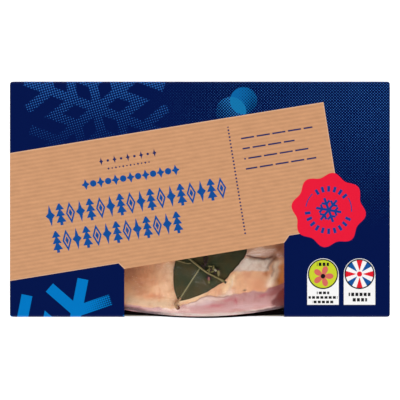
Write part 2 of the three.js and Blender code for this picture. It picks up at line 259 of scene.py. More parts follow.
sleeve = {
    "length": 247, "width": 153, "height": 92, "card": 0.6, "fold": 1.5,
    "endCorner": 1.8, "cornerFrom": 100, "baseEdge": 75.3, "flap": 14, "flapGap": 0.02, "warp": 0.35,
    "left": -49.1, "right": 54.7, "topAtLeft": -45.3, "topAtRight": -28.4,  # the window's edges
    "sill": 30, "sillRadius": 7, "sillFade": 25, "pathSteps": 40001,
    "sideColumns": 26, "cornerColumns": 8, "windowColumns": 40,
    "foldRows": 6, "baseRows": 24, "belowSillRows": 16, "aboveSillRows": 26, "belowTopRows": 26,
    "aboveTopRows": 60, "backRows": 34, "flapRows": 5,
    "bakeMargin": 0.005, "bakeUp": [0.01, 0.09, 0.2, 0.83, 0.94, 0.95],
    "bakeInside": 0.96, "bakeInsideDepth": 0.022, "bakeRim": (0.99, 0.997),
}


# the card's outer face in section: the heading turns a quarter at each fold, and the path is the
# running sum of its headings, measured along the card from the middle of the top panel
class CardSection:
    def __init__(self):
        fold, arc = sleeve["fold"], sleeve["fold"] * math.pi / 2
        top = sleeve["width"] / 2 - fold
        side = sleeve["height"] - 2 * fold
        inner = sleeve["card"] + sleeve["flapGap"]
        lengths = [sleeve["baseEdge"] + top, arc, side, arc, 2 * top, arc, side - inner, arc, sleeve["flap"]]
        self.stops = np.concatenate([[0], np.cumsum(lengths)])
        self.stops -= self.stops[4] + top
        headings = np.radians([180, 180, 90, 90, 0, 0, -90, -90, -180, -180])
        self.along = np.linspace(self.stops[0], self.stops[-1], sleeve["pathSteps"])
        self.heading = np.interp(self.along, self.stops, headings)
        middle = (self.heading[1:] + self.heading[:-1]) / 2
        step = self.along[1] - self.along[0]
        self.y = np.concatenate([[0], np.cumsum(np.cos(middle) * step)])
        self.z = np.concatenate([[0], np.cumsum(np.sin(middle) * step)])
        self.y -= np.interp(0, self.along, self.y)
        self.z += sleeve["height"] - np.interp(0, self.along, self.z)

    # the point and the outward normal at each distance along the card
    def at(self, t):
        heading = np.interp(t, self.along, self.heading)
        point = np.interp(t, self.along, self.y), np.interp(t, self.along, self.z)
        return (*point, -np.sin(heading), np.cos(heading))

    # how far the front, top and back panels belly out: nothing at the folds and the most midway, times
    # two slow waves along the sleeve
    def belly(self, t, x):
        swell = np.zeros_like(t)
        for first, amount in ((2, 1.0), (4, 0.5), (6, 1.0)):
            share = np.clip((t - self.stops[first]) / (self.stops[first + 1] - self.stops[first]), 0, 1)
            swell += amount * np.sin(math.pi * share) ** 2
        waves = 0.5 + 0.32 * np.sin(x / 37 + 1.3) + 0.18 * np.sin(x / 15 - t / 40)
        return sleeve["warp"] * swell * waves


# the sheet's grid, as x and distance along the card: its lines follow the window's edges
def sleeveGrid(section):
    s = sleeve
    corner = np.linspace(0, math.pi / 2, s["cornerColumns"] + 2)[1:-1]
    half = s["length"] / 2
    x = np.concatenate([
        np.linspace(-half, s["left"], s["sideColumns"]),
        s["left"] + s["sillRadius"] * (1 - np.cos(corner)),
        np.linspace(s["left"] + s["sillRadius"], s["right"] - s["sillRadius"], s["windowColumns"]),
        s["right"] - s["sillRadius"] * (1 - np.cos(corner[::-1])),
        np.linspace(s["right"], half, s["sideColumns"]),
    ])
    fromSide = np.clip(np.minimum(x - s["left"], s["right"] - x), 0, s["sillRadius"])
    rise = s["sillRadius"] - np.sqrt(s["sillRadius"] ** 2 - (s["sillRadius"] - fromSide) ** 2)
    outside = np.maximum(s["left"] - x, x - s["right"])
    sill = s["sill"] + rise * (1 - softStep(outside, 0, s["sillFade"]))
    sillAlong = section.stops[2] + sill - s["fold"]
    topAlong = np.interp(x, [s["left"], s["right"]], [s["topAtLeft"], s["topAtRight"]])
    stops = section.stops
    folds = s["foldRows"]
    bands = [
        (stops[0], stops[1], s["baseRows"]), (stops[1], stops[2], folds),
        (stops[2], sillAlong, s["belowSillRows"]), (sillAlong, stops[3], s["aboveSillRows"]),
        (stops[3], stops[4], folds), (stops[4], topAlong, s["belowTopRows"]),
        (topAlong, stops[5], s["aboveTopRows"]), (stops[5], stops[6], folds),
        (stops[6], stops[7], s["backRows"]), (stops[7], stops[8], folds), (stops[8], stops[9], s["flapRows"]),
    ]
    rows = [mix(low + 0 * x, high + 0 * x, k / count) for low, high, count in bands for k in range(count)]
    rows.append(0 * x + stops[-1])
    t = np.stack(rows)
    holeRows = [sum(band[2] for band in bands[:n]) for n in (3, 6)]
    holeColumns = [int(np.argmin(abs(x - s[side]))) for side in ("left", "right")]
    return np.broadcast_to(x, t.shape).copy(), t, holeRows, holeColumns


# a bent sheet with thickness: outer and inner faces where keep is true, and a rim on every edge
def sleeveFaces(keep, columns, total):
    i, j = np.nonzero(keep)
    a = i * columns + j
    outer = np.stack([a, a + 1, a + columns + 1, a + columns], axis=-1)
    inner = outer[:, ::-1] + total
    padded = np.pad(keep, 1)
    neighbours = [padded[:-2, 1:-1], padded[1:-1, 2:], padded[2:, 1:-1], padded[1:-1, :-2]]
    rims = []
    for side, beyond in enumerate(neighbours):
        edge = outer[~beyond[i, j]]
        start, end = edge[:, side], edge[:, (side + 1) % 4]
        rims.append(np.stack([end, start, start + total, end + total], axis=-1))
    return outer, inner, np.concatenate(rims)


# places on the baked picture: the top panel gets most of it, then the sides, the inside and the rims
def sleeveBakeMap(section, x, t, outer, inner, rims):
    stops = section.stops
    margin = sleeve["bakeMargin"]
    span = 1 - 2 * margin
    across = margin + span * (x.ravel() / sleeve["length"] + 0.5)
    marks = [stops[0], stops[2], stops[3], stops[6], stops[7], stops[9]]
    up = np.interp(t.ravel(), marks, sleeve["bakeUp"])
    outerMap = np.stack([across, up], axis=-1)[outer]
    share = (t.ravel() - stops[0]) / (stops[-1] - stops[0])
    inside = sleeve["bakeInside"] + sleeve["bakeInsideDepth"] * share
    innerMap = np.stack([across, inside], axis=-1)[inner - len(across)]
    wide = span / len(rims)
    k = np.arange(len(rims)) * wide + margin
    low, high = (np.full(len(rims), edge) for edge in sleeve["bakeRim"])
    rimMap = np.stack([k + wide, high, k, high, k, low, k + wide, low], axis=-1)
    return np.concatenate([outerMap.reshape(-1, 2), innerMap.reshape(-1, 2), rimMap.reshape(-1, 2)])


# the card sheet, with the window left out of its faces and its ends drawn in at the worn corners
def makeSleeve(material):
    section = CardSection()
    x, t, holeRows, holeColumns = sleeveGrid(section)
    keep = np.ones((t.shape[0] - 1, t.shape[1] - 1), dtype=bool)
    keep[holeRows[0]:holeRows[1], holeColumns[0]:holeColumns[1]] = False
    y, z, ny, nz = section.at(t)
    worn = sleeve["endCorner"]
    past = np.clip(np.abs(y) - (sleeve["width"] / 2 - worn), 0, worn)
    end = sleeve["length"] / 2 - worn + np.sqrt(worn ** 2 - past ** 2)
    drawnIn = (sleeve["length"] / 2 - end) * softStep(np.abs(x), sleeve["cornerFrom"], sleeve["length"] / 2)
    x = x - np.sign(x) * drawnIn
    out = section.belly(t, x)
    inward = out - sleeve["card"]
    outerPoints = np.stack([x, y + ny * out, z + nz * out], axis=-1).reshape(-1, 3)
    innerPoints = np.stack([x, y + ny * inward, z + nz * inward], axis=-1).reshape(-1, 3)
    outer, inner, rims = sleeveFaces(keep, t.shape[1], t.size)
    faces = np.concatenate([outer, inner, rims])
    printed = np.stack([x.ravel(), t.ravel()], axis=-1)[faces % t.size]
    maps = {
        "OFBake": sleeveBakeMap(section, x, t, outer, inner, rims),
        "print": printed.reshape(-1, 2),
    }
    board = np.concatenate([np.zeros(len(outer)), np.ones(len(inner) + len(rims))])
    used, slim = np.unique(faces, return_inverse=True)
    points = np.concatenate([outerPoints, innerPoints])[used]
    values = {"board": ("FACE", board)}
    faceSets = [slim.reshape(-1, 4)]
    return makePiece("printed_sleeve", points, faceSets, material, maps, values, creaseAngle=30)


# inks and paper, as they look on a screen in plain white light
inks = {
    "navy": screenColour(2, 20, 75), "kraft": screenColour(207, 153, 113),
    "kraftLight": screenColour(240, 202, 172), "title": screenColour(16, 78, 152),
    "dark": screenColour(38, 46, 96), "dot": screenColour(70, 149, 244),
    "betweenDots": screenColour(0, 13, 64), "flakeDot": screenColour(40, 102, 180),
    "flake": screenColour(0, 120, 196), "disc": screenColour(10, 102, 166),
    "discDot": screenColour(38, 126, 196), "lens": screenColour(18, 118, 174),
    "seal": screenColour(236, 28, 58), "sealMark": screenColour(24, 62, 140),
    "white": screenColour(250, 249, 248), "black": screenColour(24, 24, 26),
    "lime": screenColour(203, 214, 50), "pink": screenColour(216, 108, 96),
    "tagRed": screenColour(228, 30, 46), "tagBlue": screenColour(22, 84, 156),
    "panel": screenColour(232, 225, 212), "board": screenColour(214, 205, 190),
}

# the band is tilted, so its own axes run along it and square to it through the sleeve's centre
band = {
    "along": (0.98702, 0.16057), "top": 49.43, "foot": -32.6, "end": 89.4,
    "ridge": 2.58, "stripTop": 4, "stripFoot": -38, "leftChamfer": (-58.83, 0.809, 0.588),
    "rightChamfer": (53.6, 0.714, 0.700), "highlightWidth": 0.5, "wear": 0.14,
    "beads": {"start": -74.2, "pitch": 4.93, "count": 13, "middle": 21.3, "reach": 3.5, "width": 1.6,
              "dot": 2.1},
    "stars": {"start": -61.6, "pitch": 4.38, "count": 9, "middle": 34.5, "reach": 2.5, "width": 0.75,
              "dot": 0.8},
    "specks": {"start": -56.6, "pitch": 2.42, "count": 12, "middle": 29.2, "reach": 0.9, "width": 0.5,
               "dot": 0.45},
    "dashes": {"left": 32.7, "ends": (79.7, 66.9, 75.0, 79.0), "top": 34.6, "pitch": 6.67,
               "halfHeight": 0.5, "word": 10.3, "gap": 1.7},
    "dotsAt": 25.5, "dotsShift": 25.4, "dotsPitch": 2.26, "dotsRadius": 0.6,
    "dotsFrom": -27.2, "dotsTo": 43.6,
}

upperFlake = {"at": (-66.8, 59.0), "turn": 39.3, "bar": 6.0, "chevron": 16.4, "branch": 32.6,
              "branchLength": 19.5, "arm": 50.2}
lowerFlake = {"at": (-87.6, -111.0), "turn": 18.9, "bar": 7.1, "chevron": 19.5, "branch": 38.9,
              "branchLength": 23.5, "arm": 60.3}
sixth, cos60, sin60 = math.pi / 3, 0.5, 0.866


# distance from the edge of a six-armed snowflake: each sixth is turned onto one mirrored arm, with
# a chevron that meets its neighbour's and a branch further out, both at 60 degrees to the arm
def flakeDistance(x, y, flake):
    dx, dy = x - flake["at"][0], y - flake["at"][1]
    radius = (dx * dx + dy * dy).root()
    turned = dy.math("ARCTAN2", dx) - (math.radians(flake["turn"]) - sixth / 2)
    fold = abs(turned % sixth - sixth / 2)
    u, v = radius * fold.cosine(), radius * fold.sine()
    half = flake["bar"] / 2
    arm = (v - half).most(u - flake["arm"])

    def barFrom(start, length):
        across = abs((u - start) * sin60 - v * cos60) - half
        along = (u - start) * cos60 + v * sin60
        return across.most(along - length).most(along * -1)

    chevron = barFrom(flake["chevron"], flake["chevron"] * 2)
    return arm.least(chevron).least(barFrom(flake["branch"], flake["branchLength"]))


# dots on a square grid that is turned by an angle: tone runs from 0, none, to 1, solid
def halftone(x, y, pitch, degrees, tone, soft=0.05):
    c, s = math.cos(math.radians(degrees)), math.sin(math.radians(degrees))
    turn = 2 * math.pi / pitch
    wave = (((x * c + y * s) * turn).cosine() + ((y * c - x * s) * turn).cosine()) * 0.25 + 0.5
    edge = 1 - tone * (1 + 2 * soft) + soft
    return (wave - edge).ramp(-soft, soft)


# two rows of firs, lozenges and stars, each row with its own start, pitch and count of places
frieze = {
    "upper": {"start": -101, "pitch": 6.63, "count": 18, "middle": 4.9},
    "lower": {"start": -99.4, "pitch": 6.6, "count": 13, "middle": -12.45},
    "between": -3.7, "halfHeight": 7.1, "lozengeHalf": 3.05, "lozengeRing": 0.5, "starHalf": 1.7,
    "firTiers": 3, "firTier": 4.1, "firSpread": 0.58, "firStep": 0.2, "firTip": 0.45,
    "trunkFrom": 12.3, "trunkHalf": 0.95,
}


# a fir of three tiers on a short trunk
def fir(u, v):
    fromTop = frieze["halfHeight"] - v
    tier = (fromTop / frieze["firTier"]).floor().least(frieze["firTiers"] - 1)
    inTier = fromTop - tier * frieze["firTier"]
    widths = inTier * frieze["firSpread"] + tier * frieze["firStep"] + frieze["firTip"]
    trunk = 1 - fromTop.under(frieze["trunkFrom"])
    return abs(u) - (widths * (1 - trunk) + trunk * frieze["trunkHalf"])


# a lozenge, solid or with a thin line left out at a share of its size
def lozenge(u, v, halfWidth, halfHeight, ring=None):
    size = abs(u) / halfWidth + abs(v) / halfHeight
    edge = (size - 1) * halfWidth * 0.85
    return edge if ring is None else edge.most((0.11 - abs(size - ring)) * halfWidth * 0.85)


# a tall thin lozenge over a short wide one
def pointedStar(u, v, reach, width):
    return lozenge(u, v, width, reach).least(lozenge(u, v, width * 1.8, reach * 0.46))


# both rows at once: the row is picked by height, and each place in it takes one of three figures
def friezeMask(a, b):
    upper, lower = frieze["upper"], frieze["lower"]
    onUpper = 1 - b.under(frieze["between"])
    q = mix((a - lower["start"]) / lower["pitch"], (a - upper["start"]) / upper["pitch"], onUpper)
    v = b - mix(lower["middle"], upper["middle"], onUpper)
    index = q.floor()
    u = (q - index - 0.5) * upper["pitch"]
    kind = (index + onUpper * 2) % 3
    isFir, isStar = kind.under(0.5), 1 - kind.under(1.5)
    tall = frieze["halfHeight"]
    shape = mix(lozenge(u, v, frieze["lozengeHalf"], tall, frieze["lozengeRing"]), fir(u, v), isFir)
    shape = mix(shape, pointedStar(u, v, tall, frieze["starHalf"]), isStar)
    count = mix(lower["count"], upper["count"], onUpper)
    return shape.most(abs(v) - tall).most((q * -1).most(q - count) * 4).inside()


# a row of small ornaments: even places take a star or lozenge and odd places a dot
def ornamentRow(a, b, start, pitch, count, middle, reach, width, dot):
    q = (a - start) / pitch
    index = q.floor()
    u, v = (q - index - 0.5) * pitch, b - middle
    odd = index % 2
    spot = (u * u + v * v).root() - dot
    shape = mix(pointedStar(u, v, reach, width), spot, odd)
    return shape.most((q * -1).most(q - count) * 4).inside()


# lines of plain dashes in place of words: rows step down by a pitch, and gaps break each row
def dashLines(a, b, left, ends, top, pitch, halfHeight, word, gap):
    row = ((top + pitch / 2 - b) / pitch).floor()
    v = abs((top - b) - row * pitch) - halfHeight
    end = ends[0] + 0 * row
    for index, value in enumerate(ends[1:], 1):
        end = end + (value - ends[0]) * abs(row - index).under(0.5)
    between = (a - left + row * (word * 0.37)) % word - (word - gap)
    bounds = (left - a).most(a - end).most(row * -1 - 0.4).most(row - (len(ends) - 0.6))
    return v.most(between).most(bounds).inside()


seal = {
    "at": (83.7, -7.0), "radius": 22.8, "wave": 1.5, "turn": 7.4, "lobes": 8, "upright": 83.5,
    "arcRadius": 14.9, "arcHalf": 0.32, "arcFrom": 0.33, "arcReach": 0.29,
    "ringRadius": 13.8, "ringHalf": 1.85, "ringFrom": 0.25, "ringReach": 0.41,
    "petal": math.pi / 11, "petalSpan": 0.285, "petalHalf": 0.95, "endSharpness": 9,
    "armHalf": 0.85, "arm": 8.3, "branch": 4.1, "branchHalf": 0.75, "branchLength": 3.2, "lean": 0.17,
}


# a wavy red disc that holds two thin side arcs, two rows of petals above and below and a snowflake. The
# arcs and rows are bounded by the climb, which runs from -1 below the middle to 1 above it
def sealLayers(finish, colour, x, y):
    dx, dy = x - seal["at"][0], y - seal["at"][1]
    radius = (dx * dx + dy * dy).root()
    angle = dy.math("ARCTAN2", dx)
    lobes = ((angle + math.radians(seal["turn"])) * seal["lobes"]).cosine()
    body = radius - lobes * seal["wave"] - seal["radius"]
    colour = finish.layer(colour, body.inside(), inks["seal"])
    upX, upY = math.cos(math.radians(seal["upright"])), math.sin(math.radians(seal["upright"]))
    climb = (dx * upX + dy * upY) / (radius + 0.01)
    arcEnds = (abs(climb - seal["arcFrom"]) - seal["arcReach"]) * seal["endSharpness"]
    thinArcs = (abs(radius - seal["arcRadius"]) - seal["arcHalf"]).most(arcEnds)
    petals = abs((angle / seal["petal"]) % 1 - 0.5) * radius * seal["petalSpan"] - seal["petalHalf"]
    ringEnds = (seal["ringReach"] - abs(climb - seal["ringFrom"])) * seal["endSharpness"]
    ring = (abs(radius - seal["ringRadius"]) - seal["ringHalf"]).most(petals).most(ringEnds)
    fold = abs((angle + sixth / 2 + seal["lean"]) % sixth - sixth / 2)
    u, v = radius * fold.cosine(), radius * fold.sine()
    fromBranch = u - seal["branch"]
    branch = (abs(fromBranch * sin60 - v * cos60) - seal["branchHalf"]).most(
        fromBranch * cos60 + v * sin60 - seal["branchLength"])
    crystal = (v - seal["armHalf"]).most(u - seal["arm"]).least(branch)
    marks = thinArcs.least(ring).least(crystal)
    return finish.layer(colour, marks.inside(), inks["sealMark"])


tags = {
    "first": 80.0, "second": 103.75, "split": 91.9, "halfWidth": 10.25, "foot": -68.6,
    "roundel": -48.6, "radius": 10.15, "rim": 9.8, "face": 9.0,
    "bloomDrop": 1.4, "bloomPetals": 5, "bloomReach": 5.9, "bloomHeart": 0.9, "bloomEye": 1.5,
    "marksAt": 6.3, "marksHalf": 1.1, "marksReach": 3.9, "blades": 8, "bladeShare": 0.285,
    "bladeGap": 0.55, "hub": 2.4, "hubCentre": 1.7, "rowTop": (-59.4, -60.1), "rowPitch": (2.95, 3.5),
    "rowHalf": (0.85, 0.95), "rowCount": (3, 2),
}


# lime face with a five-petalled flower, its eye, and three marks over it
def bloomFace(finish, u, sideways, v):
    below = v + tags["bloomDrop"]
    radius = (u * u + below * below).root()
    petals = abs((below.math("ARCTAN2", sideways) * (tags["bloomPetals"] / 2)).cosine()) ** 0.7
    bloom = (radius - petals * tags["bloomReach"] - tags["bloomHeart"]).inside(0.3)
    face = finish.layer(inks["lime"], bloom, inks["pink"])
    face = finish.layer(face, (radius - tags["bloomEye"]).inside(), inks["black"])
    marks = (abs(v - tags["marksAt"]) - tags["marksHalf"]).most(u - tags["marksReach"])
    return finish.layer(face, marks.most((sideways + 0.2) % 2.6 - 1.8).inside(), inks["black"])


# white face with red and blue wedges in turn round a hub
def rosetteFace(finish, radius, sideways, v):
    wedge = 2 * math.pi / tags["blades"]
    sector = (v.math("ARCTAN2", sideways) + wedge / 2) / wedge
    blade = abs(sector % 1 - 0.5) * wedge * radius - radius * tags["bladeShare"] + tags["bladeGap"]
    face = finish.layer(inks["tagRed"], sector.floor() % 2, inks["tagBlue"])
    face = finish.layer(inks["white"], blade.inside(), face)
    face = finish.layer(face, (radius - tags["hub"]).inside(), inks["white"])
    return finish.layer(face, (radius - tags["hubCentre"]).inside(), inks["tagRed"])


# two white tags, each a roundel over rows of short dashes. The first has three rows, its middle one the
# widest, and the second has two
def tagLayers(finish, colour, x, y):
    second = (x * -1).under(-tags["split"])
    sideways = x - mix(tags["first"], tags["second"], second)
    u = abs(sideways)
    v = y - tags["roundel"]
    radius = (u * u + v * v).root()
    plate = (u - tags["halfWidth"]).most(v).most(tags["foot"] - y)
    card = plate.least(radius - tags["radius"])
    colour = finish.layer(colour, card.inside(), inks["white"])
    colour = finish.layer(colour, (radius - tags["rim"]).inside(), inks["black"])
    faces = finish.layer(bloomFace(finish, u, sideways, v), second, rosetteFace(finish, radius, sideways, v))
    colour = finish.layer(colour, (radius - tags["face"]).inside(), faces)
    rows = (mix(*tags["rowTop"], second) - y) / mix(*tags["rowPitch"], second)
    line = rows.floor()
    wide = mix(mix(9.4, line * 1.5 + 4.0, abs(line - 1).least(1)), mix(7.1, 4.9, line.least(1)), second)
    rule = abs(rows - line - 0.5) * 3 - mix(*tags["rowHalf"], second)
    lastRow = line - mix(*tags["rowCount"], second) + 0.6
    words = rule.most(u - wide).most(line * -2 - 0.5).most(lastRow)
    broken = (sideways + line * 1.7) % 2.7 - 1.95
    return finish.layer(colour, words.most(broken).inside(), inks["black"])


# the dots' pitch, the turn of each grid of dots, and the two discs as centre and radius
sky = {
    "pitch": 1.35, "turn": 45, "upperPitch": 1.58, "upperTurn": 17, "lowerTurn": 19,
    "firstDisc": (28.4, 64.1, 8.8), "secondDisc": (20.2, 56.6, 9.9),
}


def discDistance(x, t, disc):
    dx, dt = x - disc[0], t - disc[1]
    return (dx * dx + dt * dt).root() - disc[2]


# the dotted sky, the snowflakes and the two discs, all under the band: each fades by the size of its dots
def skyLayers(finish, x, t):
    pitch, turn = sky["pitch"], sky["turn"]
    rising = x.ramp(-40, 110, smooth=False) * t.ramp(-22, 62, smooth=False)
    colour = finish.layer(inks["navy"], rising.ramp(0.0, 0.4), inks["betweenDots"])
    colour = finish.layer(colour, halftone(x, t, pitch, turn, rising ** 0.75 * 0.141, 0.02), inks["dot"])
    fading = t.ramp(26, 80, smooth=False) * 0.38 + 0.08
    upperDots = halftone(x, t, sky["upperPitch"], sky["upperTurn"], fading, 0.2)
    upper = flakeDistance(x, t, upperFlake).inside(0.25)
    colour = finish.layer(colour, upper * upperDots, inks["flakeDot"])
    fading = 1.25 - (x - t * 0.3).ramp(-66, -38, smooth=False) * 0.8
    lowerDots = halftone(x, t, pitch, sky["lowerTurn"], fading, 0.15)
    colour = finish.layer(colour, flakeDistance(x, t, lowerFlake).inside() * lowerDots, inks["flake"])
    first, second = discDistance(x, t, sky["firstDisc"]), discDistance(x, t, sky["secondDisc"])
    fading = x.ramp(18, 34, smooth=False) * 0.56 + t.ramp(68, 56, smooth=False) * 0.24
    firstDots = halftone(x, t, pitch, turn, 1.1 - fading, 0.12)
    colour = finish.layer(colour, first.inside() * firstDots, inks["disc"])
    fading = ((x + t) * 0.7).ramp(44, 62, smooth=False) * 0.42 + 0.15
    secondDots = halftone(x, t, pitch, turn, fading, 0.1)
    colour = finish.layer(colour, second.inside() * secondDots, inks["discDot"])
    lensDots = halftone(x, t, pitch, turn, 0.9, 0.08)
    return finish.layer(colour, first.most(second).inside() * lensDots, inks["lens"])


# ribbed brown paper: a cosine along the given way for its ribs, and the grain of its fibres
def kraftPaper(finish, along, grain):
    ridges = (along * (2 * math.pi / band["ridge"])).cosine()
    return finish.shade(inks["kraft"], ridges * 0.06 + (grain - 0.5) * 0.4 + 1)


# the kraft band with its short strip above the window, a pale line painted along its edge as a highlight,
# ornaments and dotted line
def bandLayers(finish, colour, x, t, grain):
    c, s = band["along"]
    a, b = x * c + t * s, t * c - x * s
    body = (b - band["top"]).most(band["foot"] - b).most(a - band["end"])
    left, right = band["leftChamfer"], band["rightChamfer"]
    below = b - band["foot"]
    leftEdge = (a - left[0]) * -left[1] - below * left[2]
    rightEdge = (a - right[0]) * right[1] - below * right[2]
    strip = (below - band["stripTop"]).most(band["stripFoot"] - b).most(leftEdge).most(rightEdge)
    outline = body.least(strip)
    # a pale line just inside the band's outline: painted highlight along its edge
    edge = (-band["highlightWidth"] - outline).inside() * 0.5
    kraft = finish.layer(kraftPaper(finish, b, grain), edge, inks["kraftLight"])
    colour = finish.layer(colour, outline.inside(), kraft)
    worn = 1 - grain.ramp(0.56, 0.72) * band["wear"]
    bold = friezeMask(a, b).most(ornamentRow(a, b, **band["beads"]))
    colour = finish.layer(colour, bold * worn, inks["title"])
    fine = ornamentRow(a, b, **band["stars"]).most(ornamentRow(a, b, **band["specks"]))
    fine = fine.most(dashLines(a, b, **band["dashes"]))
    du = a - band["dotsAt"]
    dv = (b + band["dotsShift"]) % band["dotsPitch"] - band["dotsPitch"] / 2
    dots = (du * du + dv * dv).root() - band["dotsRadius"]
    dots = dots.most(band["dotsFrom"] - b).most(b - band["dotsTo"])
    return finish.layer(colour, fine.most(dots.inside()) * worn, inks["dark"])


basePanel = {
    "halfLength": 96, "halfWidth": 54, "barsAt": (55, -28), "barsHalf": (22, 14), "barWidth": 0.66,
    "longRows": {"left": -86, "ends": (-8, -14, -10, -26, -9, -12, -30, -8, -16, -40), "top": 44,
                 "pitch": 6.4, "halfHeight": 0.8, "word": 15.5, "gap": 2},
    "shortRows": {"left": 8, "ends": (80, 74, 84, 60, 78), "top": 44, "pitch": 6.4, "halfHeight": 0.8,
                  "word": 13.1, "gap": 2},
}


# plain care panel on the base: rows of dashes and a block of upright bars
def baseLayers(finish, colour, x, t, middle):
    y = t - middle
    panel = (abs(x) - basePanel["halfLength"]).most(abs(y) - basePanel["halfWidth"])
    colour = finish.layer(colour, panel.inside(), inks["panel"])
    rows = dashLines(x, y, **basePanel["longRows"]).most(dashLines(x, y, **basePanel["shortRows"]))
    (atX, atY), (halfX, halfY) = basePanel["barsAt"], basePanel["barsHalf"]
    block = (abs(x - atX) - halfX).most(abs(y - atY) - halfY)
    place = (x / basePanel["barWidth"]).floor()
    stripes = finish.node("ShaderNodeTexWhiteNoise", {"noise_dimensions": "1D"}, {"W": place})
    bars = block.inside() * (0.5 - stripes).under(0)
    return finish.layer(colour, rows.most(bars), inks["dark"])


backStrip = {"halfWidth": 17, "halfLength": 108, "friezeStart": 41.3, "friezeDrop": 3.8}


# a straight kraft strip with the frieze again, upside down, along the back panel
def backLayers(finish, colour, x, t, middle, grain):
    y = t - middle
    strip = (abs(y) - backStrip["halfWidth"]).most(abs(x) - backStrip["halfLength"])
    colour = finish.layer(colour, strip.inside(), kraftPaper(finish, y, grain))
    figures = friezeMask(x * -1 - backStrip["friezeStart"], y * -1 - backStrip["friezeDrop"])
    return finish.layer(colour, figures, inks["title"])


# the print lies on the outer face, as x and distance along the card, and bare board on the rest
def printedCardFinish():
    finish = Finish("printed_card")
    printed = finish.node("ShaderNodeUVMap", {"uv_map": "print"})
    x, t, _ = finish.parts(printed)
    drawnOut = finish.node("ShaderNodeVectorMath", {"operation": "MULTIPLY"}, {0: printed, 1: (0.35, 1, 1)})
    fibres = finish.noise(drawnOut, 3.2, 6, 0.68)
    stops = CardSection().stops
    colour = skyLayers(finish, x, t)
    colour = bandLayers(finish, colour, x, t, fibres)
    colour = sealLayers(finish, colour, x, t)
    colour = tagLayers(finish, colour, x, t)
    colour = baseLayers(finish, colour, x, t, (stops[0] + stops[1]) / 2)
    colour = backLayers(finish, colour, x, t, (stops[6] + stops[7]) / 2, fibres)
    here = finish.place()
    mottle = finish.noise(here, 9, 4)
    colour = finish.shade(colour, (mottle - 0.5) * 0.05 + 1)
    pulp = finish.noise(here, 0.9, 5, 0.7)
    bare = finish.shade(inks["board"], (pulp - 0.5) * 0.3 + 1)
    board = finish.attribute("board")
    colour = finish.layer(colour, board, bare)
    surface = finish.noise(here, 0.55, 4, 0.6)
    normal = finish.bump(surface, 0.05, 0.5)
    return finish.show(finish.principled({
        "Base Color": colour, "Roughness": 0.34 + board * 0.45, "Specular IOR Level": 0.12,
        "Normal": normal,
    }))


cardPiece = makeSleeve(printedCardFinish())
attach(cardPiece, "root")
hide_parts("sleeve")
print("sleeve folded and printed")

tray = {
    "halfLength": 121, "halfWidth": 75.3, "cornerRadius": 28, "floor": 0.9, "rim": 42.9, "wall": 1,
    "rimWidth": 7, "lipDrop": 2.4, "draft": 9, "bulge": 2.4, "bulgeHalfSpan": 60,
    "edgeRadius": 0.3, "edgeSteps": 4, "cornerSteps": 22, "longSteps": 60, "endSteps": 26,
}


# the wall's section as inset from the rim's edge and height: the underside from the middle out, the
# lip, and back along the top. Each corner is a short curve from a point before it to one after it
def trayProfile():
    foot = tray["rimWidth"] + tray["draft"]
    floorTop = tray["floor"] + tray["wall"]
    under = tray["rim"] - tray["wall"]
    rim = tray["rimWidth"]
    corners = np.array([
        (foot + 30, tray["floor"]), (foot + 4, tray["floor"]), (foot + 1.2, tray["floor"] + 1.4),
        (foot + 0.4, tray["floor"] + 4), (rim + 0.5, under - 1), (rim - 0.4, under),
        (tray["wall"], under), (tray["wall"], under - tray["lipDrop"]), (0, under - tray["lipDrop"]),
        (0, tray["rim"]), (rim, tray["rim"]), (rim + 1.4, tray["rim"] - 1.7),
        (foot + 1.4, tray["floor"] + 4.4), (foot + 2.2, tray["floor"] + 2.2),
        (foot + 4.6, floorTop), (foot + 30, floorTop),
    ], dtype=float)
    before, middle, after = corners[:-2], corners[1:-1], corners[2:]
    lengths = np.linalg.norm(np.diff(corners, axis=0), axis=1)
    reach = np.minimum(tray["edgeRadius"], 0.45 * np.minimum(lengths[:-1], lengths[1:]))[:, None]
    start = middle + (before - middle) * reach / lengths[:-1, None]
    end = middle + (after - middle) * reach / lengths[1:, None]
    u = np.linspace(0, 1, tray["edgeSteps"])[None, :, None]
    curve = (1 - u) ** 2 * start[:, None] + 2 * u * (1 - u) * middle[:, None] + u ** 2 * end[:, None]
    return np.concatenate([corners[:1], curve.reshape(-1, 2), corners[-1:]])


# stations round the rim, each a place that its normal starts from and the normal itself
def trayStations():
    x = tray["halfLength"] - tray["cornerRadius"]
    y = tray["halfWidth"] - tray["cornerRadius"]
    centres = np.array([(x, y), (-x, y), (-x, -y), (x, -y)])
    places, normals = [], []
    for k, sideSteps in enumerate((tray["longSteps"], tray["endSteps"]) * 2):
        angles = (k + np.linspace(0, 1, tray["cornerSteps"])) * math.pi / 2
        places.append(np.repeat(centres[k:k + 1], len(angles), axis=0))
        normals.append(np.stack([np.cos(angles), np.sin(angles)], axis=-1))
        share = np.linspace(0, 1, sideSteps)[1:-1, None]
        places.append(mix(centres[k], centres[(k + 1) % 4], share))
        normals.append(np.repeat(normals[-1][-1:], sideSteps - 2, axis=0))
    return np.concatenate(places), np.concatenate(normals)


# the rim bows out through the window, most at its middle and fading down the wall
def rimBow(x, normalY, inset):
    middle = (sleeve["left"] + sleeve["right"]) / 2
    along = np.minimum(np.abs(x - middle) / tray["bulgeHalfSpan"], 1)
    fade = np.maximum(1 - inset / (tray["rimWidth"] + tray["draft"]), 0)
    return tray["bulge"] * np.cos(along * math.pi / 2) ** 2 * np.maximum(-normalY, 0) * fade


